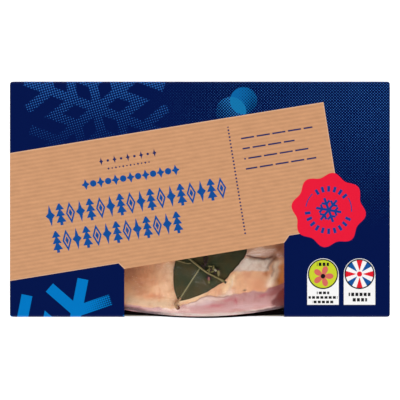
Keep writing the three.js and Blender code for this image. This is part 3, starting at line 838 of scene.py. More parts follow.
# points on the tray at each profile row's inset and height: start plus normal times what is left
# of the corner radius, then bowed
def trayPoints(profile):
    places, normals = trayStations()
    inset = profile[:, 0][:, None]
    reach = tray["cornerRadius"] - inset
    x = places[:, 0] + normals[:, 0] * reach
    y = places[:, 1] + normals[:, 1] * reach
    y = y - rimBow(x, normals[:, 1], inset)
    return np.stack([x, y, np.broadcast_to(profile[:, 1][:, None], x.shape)], axis=-1)


def blackPlasticFinish():
    finish = Finish("black_plastic")
    here = finish.place()
    scuffs = finish.noise(finish.place((0.2, 1, 1)), 2.4, 5, 0.7)
    haze = finish.noise(here, 26, 3)
    shade = scuffs.ramp(0.62, 0.8) * 0.006 + haze * 0.003 + 0.001
    drawn = finish.noise(here, 7, 2)
    # the black leans red: a painted reflection of the pink meat in the tray
    return finish.show(finish.principled({
        "Base Color": finish.vector(shade * 1.5, shade * 0.8, shade * 0.8),
        "Roughness": scuffs.ramp(0.4, 0.8) * 0.2 + 0.12, "Specular IOR Level": 0.16,
        "Normal": finish.bump(drawn, 0.3, 0.25),
    }))


def makeTray(material):
    under, upper = (0, 0, tray["floor"]), (0, 0, tray["floor"] + tray["wall"])
    points, faces = closedBody(trayPoints(trayProfile()), under, upper)
    return makePiece("formed_tray", points, faces, material, creaseAngle=60)


trayPiece = makeTray(blackPlasticFinish())
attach(trayPiece, "root")
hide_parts("tray")
print("tray formed")

joint = {
    "endReach": 115, "frontReach": 76.5, "backReach": 73.6, "backPower": 2.5, "frontPower": 2.2,
    "seatPower": 3, "sectionPower": 2.4, "widest": 49, "crown": 86.3, "seatClearance": 0.9,
    "underside": 2.3, "columns": 420, "crowding": 0.45, "domeRows": 150, "seatSteps": 5,
    "shoulders": [(-2.27, 0.2, 1.7), (-0.87, 0.2, 1.4)],
}

# soft rises in the fat: where, how wide and how high
swells = [
    ((40, -31), (13, 7), 1.8), ((54, -49), (7, 10), -2.6), ((47.5, -51), (3.4, 9), 1.6),
    ((22, -52), (16, 8), 0.9), ((-34, -54), (22, 16), 0.8), ((-72, 18), (34, 30), 1.3),
    ((68, 34), (30, 22), -1.6),
]
# creases pressed into it
creases = [
    ([(33.5, -37), (50, -37.2)], 1.9, 1.7),
    ([(50, -37.5), (44.2, -47)], 1.8, 1.3),
    ([(-26.5, -66), (-26.5, -57.5)], 1.6, 0.8),
]
# smaller folds that only the finished surface has
fineCreases = [
    ([(30, -36.6), (35.9, -37.8), (42.1, -38.8), (47.1, -37.2), (51, -34.4), (54, -31)], 0.55, 0.55),
    ([(48.9, -38.1), (45.8, -41.6), (44.3, -44.7), (44, -49)], 0.7, 0.5),
    ([(47.5, -41), (47.9, -46), (47.6, -50), (44, -56)], 0.6, 0.3),
    ([(-49, -52), (-38, -55), (-30, -60)], 1.2, 0.18),
    ([(8, -66.2), (18, -66.8), (24, -65.5)], 0.8, 0.25),
    ([(41.5, -60.5), (46.5, -59.6), (53, -56.6)], 0.7, 0.35),
]
# the lower edge of the fat as seen from above, where the lean begins
fatEdge = np.array([
    (-75, -60), (-60, -65.5), (-48.7, -68.2), (-37, -69.9), (-24.6, -70.9), (-16, -71), (-9.4, -68.9),
    (-4.1, -66.5), (1.2, -64.3), (7.2, -63.1), (14, -63.5), (19, -63.4), (22.8, -62), (25.6, -61.4),
    (35.2, -59.6), (41.5, -60.5), (45.8, -57.8), (54.2, -54.3), (70, -48),
])
# the edge of the darkest lean at the right
darkEdge = np.array([(-71, 46.4), (-67.1, 46.7), (-63.7, 48.2), (-59.6, 52), (-56.8, 55.4), (-50, 61)])


# a squared ellipse's reach in a given direction: the sum of both shares to a power is one
def reachAt(angle, halfX, halfY, power):
    shares = (np.abs(np.cos(angle)) / halfX) ** power + (np.abs(np.sin(angle)) / halfY) ** power
    return shares ** (-1 / power)


# the outline's reach from the centre: one squared half ellipse in front, with soft shoulders, and
# another behind
def outlineReach(angle):
    front = reachAt(angle, joint["endReach"], joint["frontReach"], joint["frontPower"])
    for direction, spread, rise in joint["shoulders"]:
        turned = np.arctan2(np.sin(angle - direction), np.cos(angle - direction))
        front = front + rise * np.exp(-(turned / spread) ** 2)
    back = reachAt(angle, joint["endReach"], joint["backReach"], joint["backPower"])
    return np.where(np.sin(angle) < 0, front, back)


# the same for the part inside the tray, at an inset from the rim's edge
def seatReach(angle, inset):
    clear = inset + joint["seatClearance"]
    halfX, halfY = tray["halfLength"] - clear, tray["halfWidth"] - clear
    return reachAt(angle, halfX, halfY, joint["seatPower"])


# least distance from each place to a line through the given points
def distanceToLine(x, y, points):
    least = np.full(np.shape(x), np.inf)
    for (ax, ay), (bx, by) in zip(points[:-1], points[1:]):
        dx, dy = bx - ax, by - ay
        share = np.clip(((x - ax) * dx + (y - ay) * dy) / (dx * dx + dy * dy), 0, 1)
        least = np.minimum(least, np.hypot(x - ax - share * dx, y - ay - share * dy))
    return least


# a soft round patch, stretched along its own axes
def patch(x, y, atX, atY, reachX, reachY, degrees=0):
    c, s = math.cos(math.radians(degrees)), math.sin(math.radians(degrees))
    u, v = (x - atX) * c + (y - atY) * s, (y - atY) * c - (x - atX) * s
    return np.exp(-(u / reachX) ** 2 - (v / reachY) ** 2)


# a soft stroke along a line
def stroke(x, y, points, halfWidth):
    return np.exp(-(distanceToLine(x, y, points) / halfWidth) ** 2)


# the depth of a set of creases: each is its line, half width and depth
def pressedIn(x, y, lines):
    return sum(depth * stroke(x, y, points, halfWidth) for points, halfWidth, depth in lines)


# the fat's own ups and downs: a slow wave, the swells and the creases
def fatRelief(x, y):
    rises = sum(rise * patch(x, y, *at, *reach) for at, reach, rise in swells)
    return 0.7 * np.sin(x / 31 + 0.6) * np.cos(y / 23) + rises - pressedIn(x, y, creases)


# height of the joint's upper surface: a squared dome over its outline with the fat's relief on it
def jointTop(x, y):
    share = np.minimum(np.hypot(x, y) / outlineReach(np.arctan2(y, x)), 1)
    power = joint["sectionPower"]
    dome = (1 - share ** power) ** (1 / power)
    relief = fatRelief(x, y) * (1 - share ** 8)
    return joint["widest"] + (joint["crown"] - joint["widest"]) * dome + relief


# the upper surface's slope, from its rise across a millimetre each way
def topSlope(x, y):
    step = 0.5
    slopeX = (jointTop(x + step, y) - jointTop(x - step, y)) / (2 * step)
    slopeY = (jointTop(x, y + step) - jointTop(x, y - step)) / (2 * step)
    return np.hypot(slopeX, slopeY)


# height that stands off the upper surface by a distance measured square to it
def heightOver(x, y, standOff):
    return jointTop(x, y) + standOff * np.sqrt(1 + topSlope(x, y) ** 2)


# the skin below the widest line, as rows of inset, height, share of the outline and share of overhang
def seatRows():
    foot, rim = tray["rimWidth"] + tray["draft"], tray["rimWidth"]
    low, top = joint["underside"], tray["rim"]
    marks = np.array([
        (foot + 6, low, 0.02, 0), (foot + 6, low, 0.55, 0), (foot + 6, low, 1, 0),
        (foot + 1.4, 8, 1, 0), (foot - 2, 22, 1, 0), (foot - 5.8, 36, 1, 0), (rim + 1.5, 41.8, 1, 0),
        (rim + 0.4, top + 0.5, 1, 0), (rim + 0.4, top + 1.2, 1, 0.5), (rim + 0.4, top + 2.6, 1, 0.86),
        (rim + 0.4, joint["widest"], 1, 1),
    ], dtype=float)
    steps = joint["seatSteps"]
    at = np.arange((len(marks) - 1) * steps) / steps
    return np.stack([np.interp(at, np.arange(len(marks)), column) for column in marks.T], axis=-1)


# the whole joint on a grid of turns by rows: seat rows first, then the dome from its widest line to
# the crown, where each ring is the outline shrunk by the cosine of its climb
def jointGrid():
    turn = 2 * math.pi * np.arange(joint["columns"]) / joint["columns"]
    angle = turn - joint["crowding"] * np.cos(turn)
    inset, z, share, overhang = (column[:, None] for column in seatRows().T)
    reach = mix(seatReach(angle, inset), outlineReach(angle), overhang) * share
    seat = np.stack([np.cos(angle) * reach, np.sin(angle) * reach, z + 0 * reach], axis=-1)
    climb = (np.arange(joint["domeRows"]) / joint["domeRows"])[:, None]
    shrink = np.cos(climb * math.pi / 2) ** (2 / joint["sectionPower"])
    x = np.cos(angle) * outlineReach(angle) * shrink
    y = np.sin(angle) * outlineReach(angle) * shrink
    fine = pressedIn(x, y, fineCreases) * (1 - shrink ** 12)
    dome = np.stack([x, y, jointTop(x, y) - fine], axis=-1)
    return np.concatenate([seat, dome])


meat = {
    "fat": screenColour(224, 168, 128), "fatDeep": screenColour(206, 138, 92),
    "cream": screenColour(236, 200, 158), "peach": screenColour(232, 184, 146),
    "pale": screenColour(216, 196, 180), "roll": screenColour(174, 138, 120),
    "gold": screenColour(214, 128, 66), "cardShadow": screenColour(168, 100, 74),
    "ember": screenColour(216, 136, 92), "ridge": screenColour(255, 224, 198),
    "lean": screenColour(187, 137, 134), "rose": screenColour(184, 88, 98),
    "lilac": screenColour(206, 174, 172), "mauve": screenColour(168, 98, 98),
    "darkLean": screenColour(132, 56, 53), "creaseShade": screenColour(104, 60, 58),
    "edgeLine": screenColour(150, 104, 96), "edgeSheen": screenColour(188, 172, 163),
    "purple": screenColour(104, 56, 60), "speck": screenColour(74, 50, 30),
    "tallow": screenColour(204, 172, 140), "tan": screenColour(196, 136, 92),
    "edgeShade": screenColour(62, 18, 22), "milkAndSheen": screenColour(240, 220, 206),
}


# the colour of the tissue at every point, painted in layers: fat and its stains first, with the card's
# painted shadow and a painted highlight on the ridge, then the lean under the fat's lower edge, with
# painted film sheen and painted shade round the joint's outer edge, then the thin lines, of which those
# in the folds are painted shade
def meatColours(points):
    x, y, z = points[..., 0], points[..., 1], points[..., 2]
    x, y = (x + 0.4 * np.sin(y / 1.3 + x / 5) + 0.25 * np.sin(y / 0.7 + 2),
            y + 0.2 * np.sin(x / 2.9 + 1 + y / 6) + 0.1 * np.sin(x / 0.8))
    colour = np.broadcast_to(meat["fat"], (*x.shape, 4)).copy()

    def paint(name, mask):
        share = np.clip(mask, 0, 1)[..., None]
        colour[...] = colour * (1 - share) + np.array(meat[name]) * share

    paint("fatDeep", 0.55 + 0.45 * np.sin(x / 19 + 2) * np.sin(y / 13 + z / 9))
    frontal = softStep(-y, 26, 38) * (1 - softStep(np.abs(x), 60, 78))
    paint("fat", frontal)
    paint("cream", 0.6 * patch(x, y, -19, -52, 3.4, 16, -4) * frontal)
    paint("peach", 0.8 * patch(x, y, -24, -58, 8, 14, -30))
    paint("tallow", 0.8 * stroke(x, y, [(-46, -66), (-30, -68.4), (-16, -69)], 3.6) * frontal)
    paint("cream", 0.9 * stroke(x, y, [(-12, -66), (-6, -65), (4, -60.8)], 2.2))
    paint("cream", 0.9 * stroke(x, y, [(16.5, -61.5), (18.5, -57), (21.5, -50.5), (25, -46)], 2.6))
    paint("pale", 0.8 * patch(x, y, 16.5, -62.9, 6, 1.6, 4) + 0.4 * stroke(x, y, [(19, -60), (22, -52)], 0.5))
    paint("milkAndSheen", 0.6 * patch(x, y, 19.6, -61, 2.8, 2, 30))
    paint("fatDeep", 0.65 * patch(x, y, -38, -50, 13, 9, 20))
    paint("tan", 0.7 * patch(x, y, -38.5, -56.5, 5, 6, 30))
    # painted shadow of the card's edge over the fat at the window's upper left
    paint("cardShadow", 0.6 * patch(x, y, -50, -46, 9.5, 7, 20) + 0.3 * patch(x, y, -40, -45, 11, 5, 12))
    paint("ember", 0.7 * patch(x, y, -32, -63.2, 5, 1.6, 8) + 0.4 * patch(x, y, -38, -52, 5, 4))
    paint("roll", softStep(y, -38.4, -36.4) * softStep(x, 22, 30) * frontal * 0.95)
    # painted shadow of the card's edge over the fat at the window's upper right
    paint("cardShadow", 0.85 * patch(x, y, 53, -31, 6, 3.4, 20) + 0.5 * patch(x, y, 53, -37, 3.4, 2.6))
    paint("ember", 0.6 * patch(x, y, 38, -54.5, 6, 4, 10) + 0.7 * patch(x, y, 43.4, -48.6, 2.2, 1.6))
    pocket = softStep(y, -47.5, -46) * (1 - softStep(y, -39, -37.6))
    paint("pale", pocket * softStep(x, 14, 22) * (1 - softStep(x - (y + 38) * 0.45, 46.5, 49.5)))
    paint("gold", softStep(x, 49.6, 51.6) * softStep(-y, 39, 43) * frontal * 0.95)
    # a bright cream stroke down the ridge in the fat: painted highlight
    ridge = [(50.2, -41.3), (49.6, -44.8), (48.8, -48.3), (47, -52.6), (44.8, -55.6)]
    paint("ridge", stroke(x, y, ridge, 2.2))
    paint("ember", 0.5 * patch(x, y, 40, -58.2, 4, 2.2))
    paint("roll", 0.6 * stroke(x, y, [(47.8, -43.5), (47.2, -49.5)], 0.7))

    waver = 0.3 * np.sin(x / 2.3) + 0.2 * np.sin(x / 0.9 + 1)
    edgeY = np.interp(x, fatEdge[:, 0], fatEdge[:, 1])
    byHeight = (58 + 5 * np.sin(x / 17) + 3 * np.sin(y / 9) - z) * 0.6
    below = mix(byHeight, edgeY + waver - y, softStep(-y, 34, 46) * (1 - softStep(np.abs(x), 58, 74)))
    share = np.minimum(np.hypot(x, y) / outlineReach(np.arctan2(y, x)), 1)
    lean = softStep(below, -0.25, 0.45)
    tissue = colour.copy()
    paint("lean", 1 + 0 * x)
    paint("rose", 0.3 + 0.3 * np.sin(x / 9 + z / 4) - frontal)
    paint("lilac", 0.8 * patch(x, y, 4, -66.6, 11, 2.6, 12) + 0.4 * patch(x, y, 30, -70, 11, 2.2, 8))
    paint("milkAndSheen", 0.5 * stroke(x, y, [(-8, -68.6), (-1, -66.2), (5, -64.7), (14, -65)], 1.5))
    # milky strokes on the joint's lower left edge: painted sheen of the film
    paint("milkAndSheen", 0.7 * stroke(x, y, [(-23, -71.2), (-16, -71.8)], 1.5) * frontal)
    paint("milkAndSheen", 0.3 * stroke(x, y, [(-14, -71.9), (-8, -72.1)], 1.5) * frontal)
    paint("lilac", 0.35 * (1 - softStep(x, -30, -14)) * frontal)
    paint("mauve", 0.45 * (1 - softStep(x, -42, -28)) * frontal)
    paint("rose", 0.6 * patch(x, y, 9.6, -69.6, 6.5, 1.1, 4) + 0.6 * patch(x, y, 19.2, -65.6, 4.2, 1.2, 6))
    paint("rose", 0.8 * patch(x, y, 23.2, -66.6, 1.0, 2.2, 20) + 0.75 * patch(x, y, 41, -62.7, 3.6, 1.2, 20))
    paint("mauve", 0.95 * softStep(x, 42, 48) * (1 - softStep(below, 4.5, 6.5)) * frontal)
    paint("darkLean", softStep(x - np.interp(y, darkEdge[:, 0], darkEdge[:, 1]), -0.9, 1.7) * frontal)
    # painted shade in the lower right corner of the lean, where the joint turns down to the tray
    paint("edgeShade", 0.3 * softStep(x, 45, 49) * softStep(-y, 62, 67) * frontal)
    paint("purple", softStep(-x, 30, 42) * softStep(below, 0.7, 1.9) * frontal)
    # a pale grey band round the joint's outer edge: painted sheen of the film
    paint("edgeSheen", 0.85 * softStep(share, 0.962, 0.985) * (1 - softStep(np.abs(x - 8), 30, 39)) * frontal)
    # a milky line on the joint's lower right edge: painted sheen of the film
    paint("milkAndSheen", 0.35 * stroke(x, y, [(34, -72.4), (41.7, -71.3), (45.6, -70.6), (48.7, -69.8)], 0.5))
    # painted shade along the joint's outer edge, where it turns down
    paint("edgeShade", softStep(share, 0.972, 0.99) * softStep(np.abs(x - 5), 15, 38) * frontal)
    flank = 1 - softStep(z + 2.2 * np.sin(x / 6) + np.sin(x / 2.1 + 1), 48, 54.5)
    paint("lean", flank)
    paint("rose", (0.4 + 0.3 * np.sin(x / 9 + z / 4)) * flank)
    colour = tissue * (1 - lean[..., None]) + colour * lean[..., None]

    line = np.exp(-(below / 0.36) ** 2) * frontal * softStep(x, -13, -5) * (1 - softStep(x, 16, 30))
    paint("edgeLine", 0.8 * line)
    rollFold, sideFold = fineCreases[0][0][:4], fineCreases[1][0][:3]
    # dark lines in the fat's folds: painted shade in the creases
    paint("creaseShade", 0.85 * stroke(x, y, rollFold, 0.5) + 0.5 * stroke(x, y, sideFold, 0.7))
    # a thin darker orange line along the pressed crease at the left: painted shade in the crease
    paint("ember", 0.8 * stroke(x, y, [(-26.4, -57.7), (-26.3, -66.8)], 0.35))
    paint("speck", stroke(x, y, [(28.1, -59.3), (29.2, -59)], 0.42))
    return {"tissue": ("POINT", colour.reshape(-1, 4))}


def meatFinish():
    finish = Finish("cured_meat")
    here = finish.place()
    clouds = finish.noise(here, 7, 5, 0.62)
    fibres = finish.noise(finish.place((1.6, 0.45, 0.6)), 2.6, 6, 0.68)
    grain = finish.noise(here, 1.1, 5, 0.7)
    colour = finish.attribute("tissue", "Color")
    colour = finish.layer(colour, clouds.ramp(0.44, 0.68) * 0.42, screenColour(214, 150, 124), "MULTIPLY")
    colour = finish.shade(colour, (grain - 0.5) * 0.2 + (fibres - 0.5) * 0.44 + 1.02)
    normal = finish.bump(grain, 0.12, 0.5, finish.bump(fibres, 0.35, 0.45))
    return finish.show(finish.principled({
        "Base Color": colour, "Roughness": grain.ramp(0.3, 0.7) * 0.2 + 0.38,
        "Specular IOR Level": 0.14, "Normal": normal, "Subsurface Weight": 0.1,
        "Subsurface Radius": (1.0, 0.45, 0.3), "Subsurface Scale": 0.0015,
    }))


# places on the baked picture for a closed grid with a pole at each end: turns run across it
def closedGridMap(rows, columns, margin=0.01):
    i, j = np.meshgrid(np.arange(rows - 1), np.arange(columns), indexing="ij")
    us = np.stack([j, j + 1, j + 1, j], axis=-1) / columns
    vs = np.stack([i + 1, i + 1, i + 2, i + 2], axis=-1) / (rows + 1)
    quads = np.stack([us, vs], axis=-1).reshape(-1, 2)
    k = np.arange(columns)
    start, middle, end = k / columns, (k + 0.5) / columns, (k + 1) / columns
    first, last = (np.full(columns, row / (rows + 1)) for row in (1, rows))
    low = np.stack([end, first, start, first, middle, 0 * k], axis=-1)
    high = np.stack([start, last, end, last, middle, 0 * k + 1], axis=-1)
    flat = np.concatenate([quads, low.reshape(-1, 2), high.reshape(-1, 2)])
    return flat * (1 - 2 * margin) + margin


def makeJoint(material):
    grid = jointGrid()
    crown = float(jointTop(0.0, 0.0))
    points, faces = closedBody(grid, (0, 0, joint["underside"]), (0, 0, crown))
    maps = {"OFBake": closedGridMap(*grid.shape[:2])}
    return makePiece("gammon_joint", points, faces, material, maps, meatColours(points))


jointPiece = makeJoint(meatFinish())
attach(jointPiece, "root")
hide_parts("gammon")
print("joint shaped")

leaf = {
    "base": (-13.9, -66.1), "along": (0.558, 0.83), "length": 98, "clearance": 0.65, "wave": 0.45,
    "thickness": 0.34, "edge": 0.14, "rib": 0.32, "ribWidth": 0.55, "bow": 0.48,
    "veinPitch": 7.4, "veinSlope": 0.62, "veinDepth": 0.05, "rows": 130, "columns": 60,
    "stalk": [(-12.6, -64.2), (-14.3, -66.6), (-16, -68.4), (-15.2, -70.3), (-13.2, -71.2)],
    "stalkRadius": 1.0, "stalkSteps": 28, "stalkSides": 14,
}
# how far the blade's two edges stand from the midrib at distances along it
leafEdges = {
    "right": [(0, 0.6), (2, 2.6), (5.4, 5.6), (11.3, 9.9), (17, 13.1), (23, 15.9), (29.6, 18), (34.9, 18.5),
              (38.5, 18.8), (42, 19.4), (45.7, 19.9), (49.8, 19.3), (53, 17.8), (60, 15.6), (72, 11.6),
              (86, 6.2), (98, 0.3)],
    "left": [(0, 0.6), (2, 3.4), (5.4, 7.2), (11.9, 12.0), (20.5, 16.3), (29.6, 18.4), (38, 19.3),
             (49.5, 19.6), (62, 17.6), (76, 12), (88, 5.6), (98, 0.3)],
}


# a cubic through table points that keeps their slopes, evaluated at many places at once
def smoothTable(at, table):
    xs, ys = np.array(table, dtype=float).T
    slopes = np.gradient(ys, xs)
    k = np.clip(np.searchsorted(xs, at, side="right") - 1, 0, len(xs) - 2)
    width = xs[k + 1] - xs[k]
    t = np.clip((at - xs[k]) / width, 0, 1)
    low = (1 + 2 * t) * (1 - t) ** 2 * ys[k] + t * (1 - t) ** 2 * width * slopes[k]
    high = t ** 2 * (3 - 2 * t) * ys[k + 1] + t ** 2 * (t - 1) * width * slopes[k + 1]
    return low + high


# the blade: the midrib line plus a share of the half width across it, laid over the fat, with a
# raised midrib, a slight curl and ripple at the edges, and a rim no thicker than paper
def leafGrid():
    along = np.linspace(0, leaf["length"], leaf["rows"])[:, None]
    across = np.sin(np.linspace(-1, 1, leaf["columns"]) * math.pi / 2)[None, :]
    right, left = (smoothTable(along, leafEdges[side]) for side in ("right", "left"))
    jags = 0.012 * np.sin(along / 1.9) * np.abs(across) + 0.008 * np.sin(along / 0.83 + 2)
    off = across * np.where(across > 0, right, left) * (1 + jags)
    bow = leaf["bow"] * np.sin(math.pi * along / leaf["length"]) * (1 - np.abs(across))
    ux, uy = leaf["along"]
    x = leaf["base"][0] + ux * along + uy * (off - bow)
    y = leaf["base"][1] + uy * along - ux * (off - bow)
    s = along / leaf["length"]
    lift = leaf["clearance"] + leaf["wave"] * across ** 2 * (1 + np.sin(11 * s + 2.2 * across)) / 2
    low = heightOver(x, y, lift)
    rib = leaf["rib"] * np.exp(-(off / leaf["ribWidth"]) ** 2) * (1 - s)
    thick = mix(leaf["thickness"], leaf["edge"], np.abs(across) ** 3)
    alongVein = (along - np.abs(off) * leaf["veinSlope"]) / leaf["veinPitch"]
    veinWave = leaf["veinDepth"] * np.cos(2 * math.pi * alongVein)
    top = heightOver(x, y, lift + thick + rib + veinWave * (1 - np.abs(across) ** 6))
    return np.stack([x, y, low], axis=-1), np.stack([x, y, top], axis=-1), along + 0 * off, off


# both faces of a thin sheet and the rim between them
def sheetFaces(rows, columns):
    top = gridFaces(rows, columns)
    under = top[:, ::-1] + rows * columns
    ring = np.concatenate([
        np.arange(columns - 1), np.arange(rows - 1) * columns + columns - 1,
        (rows - 1) * columns + np.arange(columns - 1, 0, -1), np.arange(rows - 1, 0, -1) * columns,
    ])
    after = np.roll(ring, -1)
    rim = np.stack([after, ring, ring + rows * columns, after + rows * columns], axis=-1)
    return top, under, rim


# a round tube along points, with a radius for each: every ring stands square to the path
def tubeGrid(path, radii, sides):
    forward = np.gradient(path, axis=0)
    forward /= np.linalg.norm(forward, axis=1)[:, None]
    right = np.cross(forward, [0, 0, 1])
    right /= np.linalg.norm(right, axis=1)[:, None]
    up = np.cross(right, forward)
    turn = 2 * math.pi * np.arange(sides) / sides
    ring = np.cos(turn)[None, :, None] * right[:, None] + np.sin(turn)[None, :, None] * up[:, None]
    return path[:, None] + ring * np.asarray(radii)[:, None, None]


# an even path through a few plan points, smoothed by a cubic on their distances
def smoothRoute(points, count):
    plan = np.array(points, dtype=float)
    along = np.concatenate([[0], np.cumsum(np.linalg.norm(np.diff(plan, axis=0), axis=1))])
    at = np.linspace(0, along[-1], count)
    return np.stack([smoothTable(at, np.stack([along, column], axis=-1)) for column in plan.T], axis=-1)


def bayLeafFinish():
    finish = Finish("dried_bay_leaf")
    along, off = finish.attribute("along"), finish.attribute("off")
    here = finish.place()
    clouds = finish.noise(here, 12, 4, 0.6)
    blotches = finish.noise(here, 4.5, 5, 0.65)
    fine = finish.noise(here, 1.1, 5, 0.7)
    cells = finish.noise(here, 0.6, 3, 0.6)
    alongVein = (along - abs(off) * leaf["veinSlope"]) / leaf["veinPitch"]
    veins = abs((alongVein + (clouds - 0.5) * 0.25) % 1 - 0.5)
    vein = (0.5 - veins - 0.028).inside(0.03) * abs(off).ramp(17, 9)
    rib = (abs(off) - 0.4).inside(0.14) * (1 - along.ramp(22, 29) * 0.95)
    colour = finish.layer(screenColour(70, 60, 32), clouds.ramp(0.4, 0.62), screenColour(50, 56, 34))
    # darker towards the blade's tip, which runs under the card: painted shade of the card's edge
    colour = finish.layer(colour, along.ramp(30, 52) * 0.6, screenColour(44, 46, 27))
    colour = finish.layer(colour, blotches.ramp(0.55, 0.72) * 0.5, screenColour(40, 44, 26))
    colour = finish.layer(colour, vein * 0.22, screenColour(92, 90, 58))
    colour = finish.layer(colour, finish.attribute("margin") * 0.85, screenColour(46, 30, 12))
    colour = finish.layer(colour, rib * 0.85, screenColour(146, 136, 98))
    colour = finish.layer(colour, finish.attribute("stalky"), screenColour(158, 120, 86))
    colour = finish.layer(colour, finish.attribute("burnt"), screenColour(86, 32, 34))
    colour = finish.shade(colour, (fine - 0.5) * 0.3 + 1)
    normal = finish.bump(cells, 0.08, 0.6, finish.bump(fine, 0.15, 0.5))
    return finish.show(finish.principled({
        "Base Color": colour, "Roughness": fine.ramp(0.3, 0.7) * 0.15 + 0.5,
        "Specular IOR Level": 0.12, "Normal": normal,
    }))


# the blade and its hooked stalk as one mesh. The stalk's attributes keep it clear of the blade's veins
def makeLeaf(material):
    under, top, along, off = leafGrid()
    rows, columns = along.shape
    sides = leaf["stalkSides"]
    blade = np.concatenate([top.reshape(-1, 3), under.reshape(-1, 3)])
    faceSets = list(sheetFaces(rows, columns))
    plan = smoothRoute(leaf["stalk"], leaf["stalkSteps"])
    share = np.linspace(0, 1, len(plan))
    swollen = 0.72 + 0.2 * share + 0.45 * softStep(share, 0.72, 0.9)
    radii = leaf["stalkRadius"] * swollen * np.sqrt(np.clip((1 - share) * 14, 0.1, 1))
    z = heightOver(plan[:, 0], plan[:, 1], leaf["clearance"] + leaf["stalkRadius"] - 0.1)
    path = np.concatenate([plan, z[:, None]], axis=-1)
    stalkPoints, stalkFaces = closedBody(tubeGrid(path, radii, sides), path[0], path[-1])
    points = np.concatenate([blade, stalkPoints])
    faceSets += [faces[:, ::-1] + len(blade) for faces in stalkFaces]
    bladeZeros, stalkOnes = np.zeros(len(blade)), np.ones(len(stalkPoints))
    across = np.abs(np.sin(np.linspace(-1, 1, columns) * math.pi / 2))[None, :] + 0 * along
    margin = softStep(across, 0.93, 0.985).ravel()
    ringShare = np.append(np.repeat(share, sides), (0, 1))
    values = {
        "along": ("POINT", np.concatenate([along.ravel(), along.ravel(), 0 * stalkOnes])),
        "off": ("POINT", np.concatenate([off.ravel(), off.ravel(), 50 * stalkOnes])),
        "margin": ("POINT", np.concatenate([margin, margin, 0 * stalkOnes])),
        "stalky": ("POINT", np.concatenate([bladeZeros, stalkOnes])),
        "burnt": ("POINT", np.concatenate([bladeZeros, softStep(ringShare, 0.72, 0.95)])),
    }
    return makePiece("bay_leaf_dried", points, faceSets, material, values=values, creaseAngle=70)


leafPiece = makeLeaf(bayLeafFinish())
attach(leafPiece, "root")
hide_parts("bay_leaf")
print("bay leaf laid")

sprig = {
    "clearance": 0.35, "overBlade": 0.4, "stemRadius": 0.6, "stemBlunt": 0.45, "shootRadius": 0.34,
    "stemSides": 12, "thickness": 0.8, "rootOverlap": 0.8, "leafletRows": 14, "leafletColumns": 16,
    "stem": [(-12, -34.6), (-4.2, -40.8), (3.6, -47), (15, -53.1), (17, -54.3)],
    "shoots": [
        [(-15.8, -39.6), (-11.1, -40.9), (-7.7, -41.8), (-5.4, -41.6)],
        [(2.6, -45.4), (3.3, -42.6), (3.2, -39.6), (2.9, -36.6)],
        [(3.5, -42.4), (4.6, -40.4), (4.9, -36.8)],
        [(4.4, -46.4), (7.3, -45.4), (10.6, -46.0), (12.3, -48.8)],
        [(4.6, -46.6), (5.3, -49.6), (5.9, -52.6)],
    ],
    "shootTones": [-0.15, 0.95, 1.0, 0.35, 0.75],
}
# leaflets: where each is rooted, its heading, length and width, and its tone, which runs from pale
# at -0.3 through straw at 0, olive at 0.5 and dark purple at 0.85 to rose at 1.3. The pale leaflet at
# (9.8, -45.9) is a painted glint of the film
leaflets = np.array([
    (3.3, -42.4, 100, 3.2, 1.0, 0.95), (3.6, -42.6, 68, 3.4, 1.0, 1.0), (4.8, -39.6, 84, 3.4, 0.9, 1.0),
    (3.0, -39.8, 98, 3.2, 0.9, 0.95), (3.4, -42.2, -60, 1.8, 1.5, 1.0), (1.4, -43.4, 20, 2.0, 1.2, 0.9),
    (5.9, -47.2, 84, 3.6, 1.0, 0.45), (6.0, -43.6, -6, 2.8, 1.0, 0.3), (8.8, -43.7, -84, 3.4, 1.1, 0.38),
    (8.5, -47.0, 196, 2.4, 1.0, 0.5), (7.3, -46.6, 92, 2.6, 1.4, 0.95), (9.8, -45.9, -48, 2.2, 1.3, -0.14),
    (11.4, -45.6, -20, 2.4, 1.2, 0.8), (12.2, -46.6, -92, 4.4, 1.5, 0.12), (13.6, -46.9, -96, 3.8, 0.9, 0.72),
    (10.2, -47.6, -150, 2.4, 1.1, 0.85), (5.6, -49.8, -124, 3.4, 1.3, 0.9), (6.1, -49.8, -58, 3.4, 1.2, 0.9),
    (5.8, -50.8, -90, 3.2, 1.5, 1.3), (5.9, -53.4, -94, 2.4, 1.3, 0.5),
    (-9.4, -38, 44, 4.2, 1.6, 0.7), (-12.8, -36, 128, 4.2, 1.8, 0.6), (-7.6, -37.6, 70, 3.6, 1.6, 0.5),
])


# a height above where the sprig rests, which is just over the leaf's highest ripple
def restHeight(x, y, above):
    layers = leaf["clearance"] + leaf["wave"] + sprig["overBlade"] + sprig["clearance"]
    return heightOver(x, y, layers) + above


# a knotted stem that tapers and darkens towards its tip. A blunt one swells again at a cut tip
def stemBody(points, radius, tone, blunt=0.0):
    sides = sprig["stemSides"]
    plan = smoothRoute(points, 8 * len(points))
    share = np.linspace(0, 1, len(plan))
    knots = 1 + 0.14 * np.exp(-((share * len(points) * 1.7) % 1 - 0.5) ** 2 / 0.01)
    path = np.concatenate([plan, restHeight(plan[:, 0], plan[:, 1], sprig["stemRadius"])[:, None]], axis=-1)
    taper = 1.08 - 0.3 * share + blunt * softStep(share, 0.86, 0.93)
    body, faces = closedBody(tubeGrid(path, radius * knots * taper, sides), path[0], path[-1])
    ringShare = np.append(np.repeat(share, sides), (0, 1))
    tones = np.maximum(tone + ringShare * 0.2, softStep(ringShare, 0.9, 0.98) * 0.8)
    return body, [f[:, ::-1] for f in faces], tones


